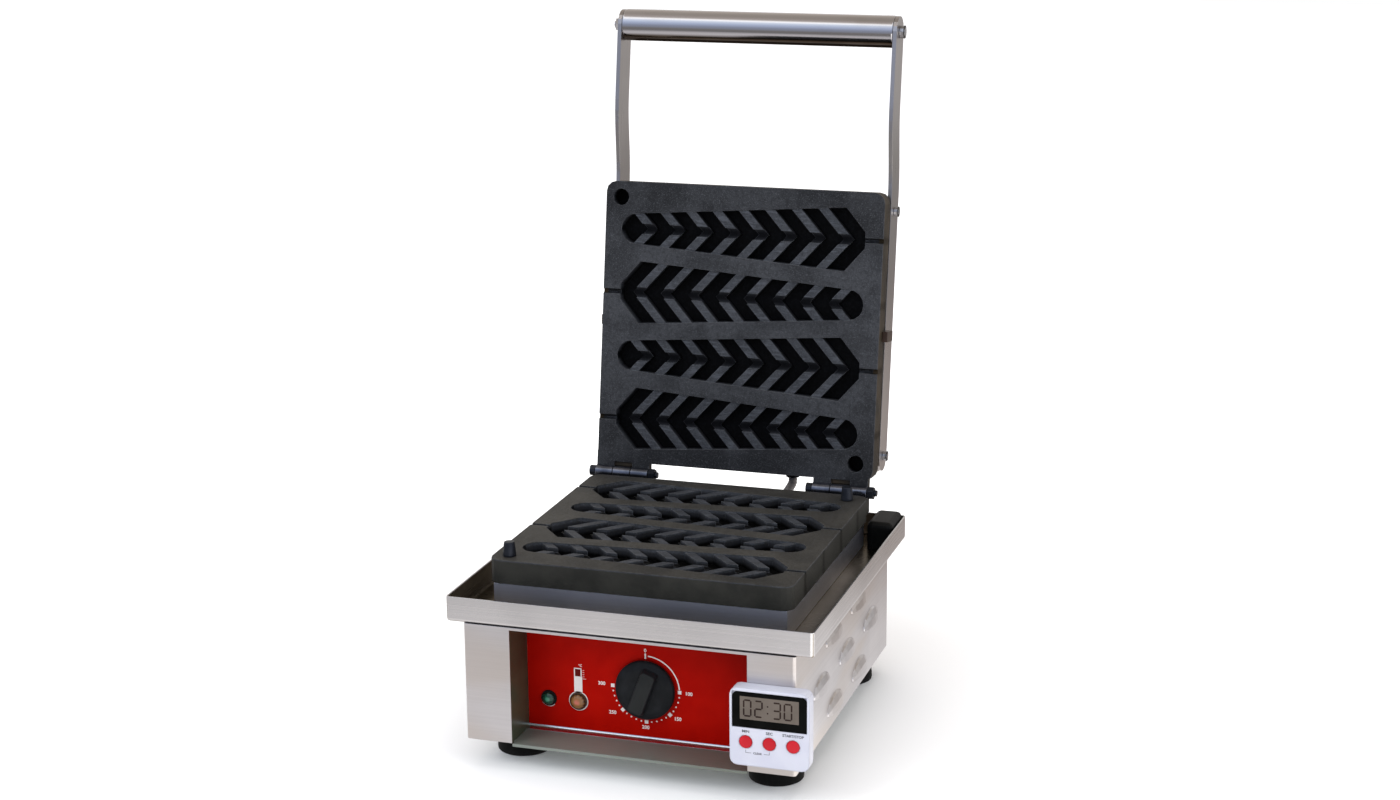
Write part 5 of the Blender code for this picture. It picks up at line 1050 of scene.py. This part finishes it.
# %% Window and display
CASE_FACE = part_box("timer_case")[0].y
for name, node, finish, slot_name, lower, upper, proud, smooth in (
    ("timer_glass", "timer_window", window_black, "dark_window", 0.0004, 0.0042, INK, 30.0),
    ("timer_lcd", "timer_display", lcd_grey, "display", 0.0002, 0.0002, 3 * INK, None),
):
    low, high, centre = box_of(node)
    outline = round_box(low.x, low.z, high.x, high.z, lower, upper)
    half, face = (high.y - low.y) / 2, centre.y - proud
    ink_piece(name, finish, "timer", slot_name, face, [outline], (), node, thick=half, smooth=smooth)
LCD_FACE, LCD_MIDDLE = low.y - 3 * INK, centre.z
print("display stands", round((CASE_FACE - LCD_FACE) * 1000, 2), "mm before the case")

# %% Digits and words
STROKE, DIGIT_WIDTH, DIGIT_HEIGHT = 0.0013, 0.0070, 0.0142
STROKES = {"0": "abcdef", "2": "abged", "3": "abgcd"}


def stroke_outline(letter, x, z):
    """The stroke of a digit that is centred on x, z: a, g and d lie level, and the others stand."""
    half_width, half_height, thick = (DIGIT_WIDTH - STROKE) / 2, (DIGIT_HEIGHT - STROKE) / 2, STROKE / 2
    level = letter in "agd"
    reach = (half_width if level else half_height / 2) - STROKE * 0.15
    if level:
        z += {"a": half_height, "g": 0.0, "d": -half_height}[letter]
    else:
        x += half_width if letter in "bc" else -half_width
        z += half_height / 2 if letter in "bf" else -half_height / 2
    half = [(-reach, 0.0), (thick - reach, -thick), (reach - thick, -thick)]
    hexagon = half + [(-along, -across) for along, across in half]
    return [(x + along, z + across) if level else (x + across, z + along) for along, across in hexagon]


digits = [
    stroke_outline(letter, x, LCD_MIDDLE)
    for digit, x in (("0", 0.1026), ("2", 0.1116), ("3", 0.1262), ("0", 0.1352))
    for letter in STROKES[digit]
]
for z in (LCD_MIDDLE - 0.0028, LCD_MIDDLE + 0.0028):
    digits.append(round_box(0.1183, z - 0.0006, 0.1195, z + 0.0006))
ink_piece("timer_digits", lcd_ink, "timer", "display", LCD_FACE, digits)

WORDS_Z, WORDS_HEIGHT = 0.0627, 0.0022
words = [("CLEAR", 0.1107, 0.0452, 0.0017)]
for word, x, width in (("MIN", 0.1012, 1.1), ("SEC", 0.1202, 1.1), ("START/STOP", 0.1392, 1.0)):
    words.append((word, x, WORDS_Z, WORDS_HEIGHT, width))
bracket = [
    round_box(left, 0.0451, right, top, 0.0001, 0.0001)
    for left, right, top in (
        (0.1010, 0.1056, 0.0454),
        (0.1158, 0.1204, 0.0454),
        (0.1010, 0.1013, 0.0475),
        (0.1201, 0.1204, 0.0475),
    )
]
ink_piece("timer_words", print_black, "timer", "black_plastic", CASE_FACE, bracket, words)
print("lit strokes:", len(digits) - 2, "- words:", len(words))

# %% [markdown]
# ## The stage
#
# The machine stands on a plain pale floor in soft light. Steel shows its surroundings more than its own colour,
# so the room matters more than the lamps. The bands of the handle tell what stood there: a long bright softbox
# high in front, blue light under it, brown walls above and behind, and a bright table that ends a step away. So
# the room is painted by direction: once for what lies in front of the machine, and once for what lies behind.

# %% Floor, and a pool of light on the table that only reflections see
scene.view_settings.view_transform = "Standard"


def flat_stage(name, half, height, finish):
    """A square sheet that isn't part of the machine."""
    shape = bmesh.new()
    bmesh.ops.create_grid(shape, x_segments=1, y_segments=1, size=half)
    bmesh.ops.translate(shape, verts=shape.verts, vec=(0.0, 0.0, height))
    mesh = bpy.data.meshes.new(name)
    shape.to_mesh(mesh)
    shape.free()
    mesh.materials.append(finish.material)
    sheet = new_object(name, mesh)
    return sheet


floor_finish = Finish("pale_floor")
away = floor_finish.reach()[2]
floor_finish.set(
    Base_Color=floor_finish.blend(floor_finish.noise(3.0), (0.90, 0.90, 0.90), (0.92, 0.92, 0.92)),
    Roughness=0.9,
    Emission_Color=floor_finish.blend(away.fade(0.14, 0.75), (0.07, 0.07, 0.07), (0.60, 0.60, 0.60)),
    Emission_Strength=1.0,
)
floor = flat_stage("floor", 6.0, 0.0, floor_finish)
floor.visible_glossy = False

pool_finish = Finish("table_light")
right, back, away = pool_finish.reach()
away = away * (1.0 - right.fade(0.15, 0.40) * 0.35)
beside = right.fade(0.12, 0.20)
behind_right = beside * back.fade(0.08, 0.50) * (1.0 - right.fade(0.35, 0.60))
farther_right = right.fade(0.22, 0.34) * back.fade(0.10, 0.42) * (1.0 - back.fade(0.60, 0.80))
glow = pool_finish.layered(
    (0.83, 0.80, 0.79),
    (away.fade(0.45, 1.10), (0.24, 0.23, 0.225)),
    (back.fade(0.22, 0.42) * (1.0 - right.fade(0.02, 0.16)), (0.050, 0.036, 0.027)),
    (beside * (1.0 - back.fade(-0.12, 0.04)), (1.60, 1.56, 1.52)),
    (behind_right * 0.75, (0.44, 0.37, 0.335)),
    (farther_right * 0.75, (0.12, 0.09, 0.075)),
)
pool_finish.set(Base_Color=(0.0, 0.0, 0.0), Emission_Color=glow, Emission_Strength=1.0, Specular_IOR_Level=0.0)
pool = flat_stage("table_light", 3.0, -0.002, pool_finish)
pool.visible_camera = pool.visible_diffuse = pool.visible_shadow = False
print("finishes in all:", len(bpy.data.materials))

# %% The room, painted by direction
IN_FRONT = (
    (0.00, (0.050, 0.042, 0.035)),
    (0.25, (0.20, 0.18, 0.165)),
    (0.40, (0.26, 0.26, 0.28)),
    (0.56, (0.33, 0.37, 0.48)),
    (0.72, (0.58, 0.67, 0.88)),
    (0.83, (0.88, 0.98, 1.14)),
    (0.895, (1.60, 1.60, 1.60)),
    (0.935, (0.56, 0.50, 0.46)),
    (1.00, (0.33, 0.29, 0.25)),
)
BEHIND = (
    (0.00, (0.050, 0.042, 0.035)),
    (0.30, (0.30, 0.28, 0.26)),
    (0.50, (0.62, 0.60, 0.59)),
    (0.63, (0.78, 0.76, 0.74)),
    (0.80, (0.56, 0.50, 0.44)),
    (1.00, (0.36, 0.32, 0.28)),
)
scene.world = bpy.data.worlds.new("studio")
scene.world.use_nodes = True
room = Tree(scene.world.node_tree)
direction = room.node("ShaderNodeSeparateXYZ", None, {"Vector": room.node("ShaderNodeTexCoord")})
climb = direction.out("Z") * 0.5 + 0.5
front_walls, back_walls = (
    room.node("ShaderNodeValToRGB", {"stops": stops}, {"Fac": climb}) for stops in (IN_FRONT, BEHIND)
)
behind = direction.out("Y").fade(-0.15, 0.15)
walls = room.node("ShaderNodeMix", {"data_type": "RGBA"}, {0: behind, 6: front_walls, 7: back_walls})
seen = room.node("ShaderNodeLightPath").out("Is Camera Ray")
colour = room.node("ShaderNodeMix", {"data_type": "RGBA"}, {0: seen, 6: walls, 7: (1.0, 1.0, 1.0, 1.0)})
background = room.inside.nodes["Background"]
room.inside.links.new(colour.socket, background.inputs["Color"])
background.inputs["Strength"].default_value = 1.0
print("stops of the room's colours:", len(IN_FRONT), "in front and", len(BEHIND), "behind")

# %% Soft lamps
def soft_lamp(name, place, aim_height, width, height, power, colour=(1.0, 1.0, 1.0)):
    """A large soft lamp that points at the machine. The room's colours already stand for it in reflections."""
    data = bpy.data.lights.new(name, "AREA")
    data.shape = "RECTANGLE"
    data.size, data.size_y, data.energy, data.color = width, height, power, colour
    lamp = new_object(name, data)
    lamp.location = place
    lamp.rotation_euler = (UP * aim_height - Vector(place)).to_track_quat("-Z", "Y").to_euler()
    lamp.visible_glossy = False


soft_lamp("key_left", (-1.6, -1.9, 1.8), 0.25, 1.4, 1.4, 36.0)
soft_lamp("fill_right", (2.0, -0.9, 1.1), 0.2, 1.2, 1.6, 14.0, (1.0, 0.97, 0.93))
soft_lamp("top", (0.1, 0.3, 2.4), 0.2, 1.8, 1.8, 26.0)
print("lamps:", len(bpy.data.lights))
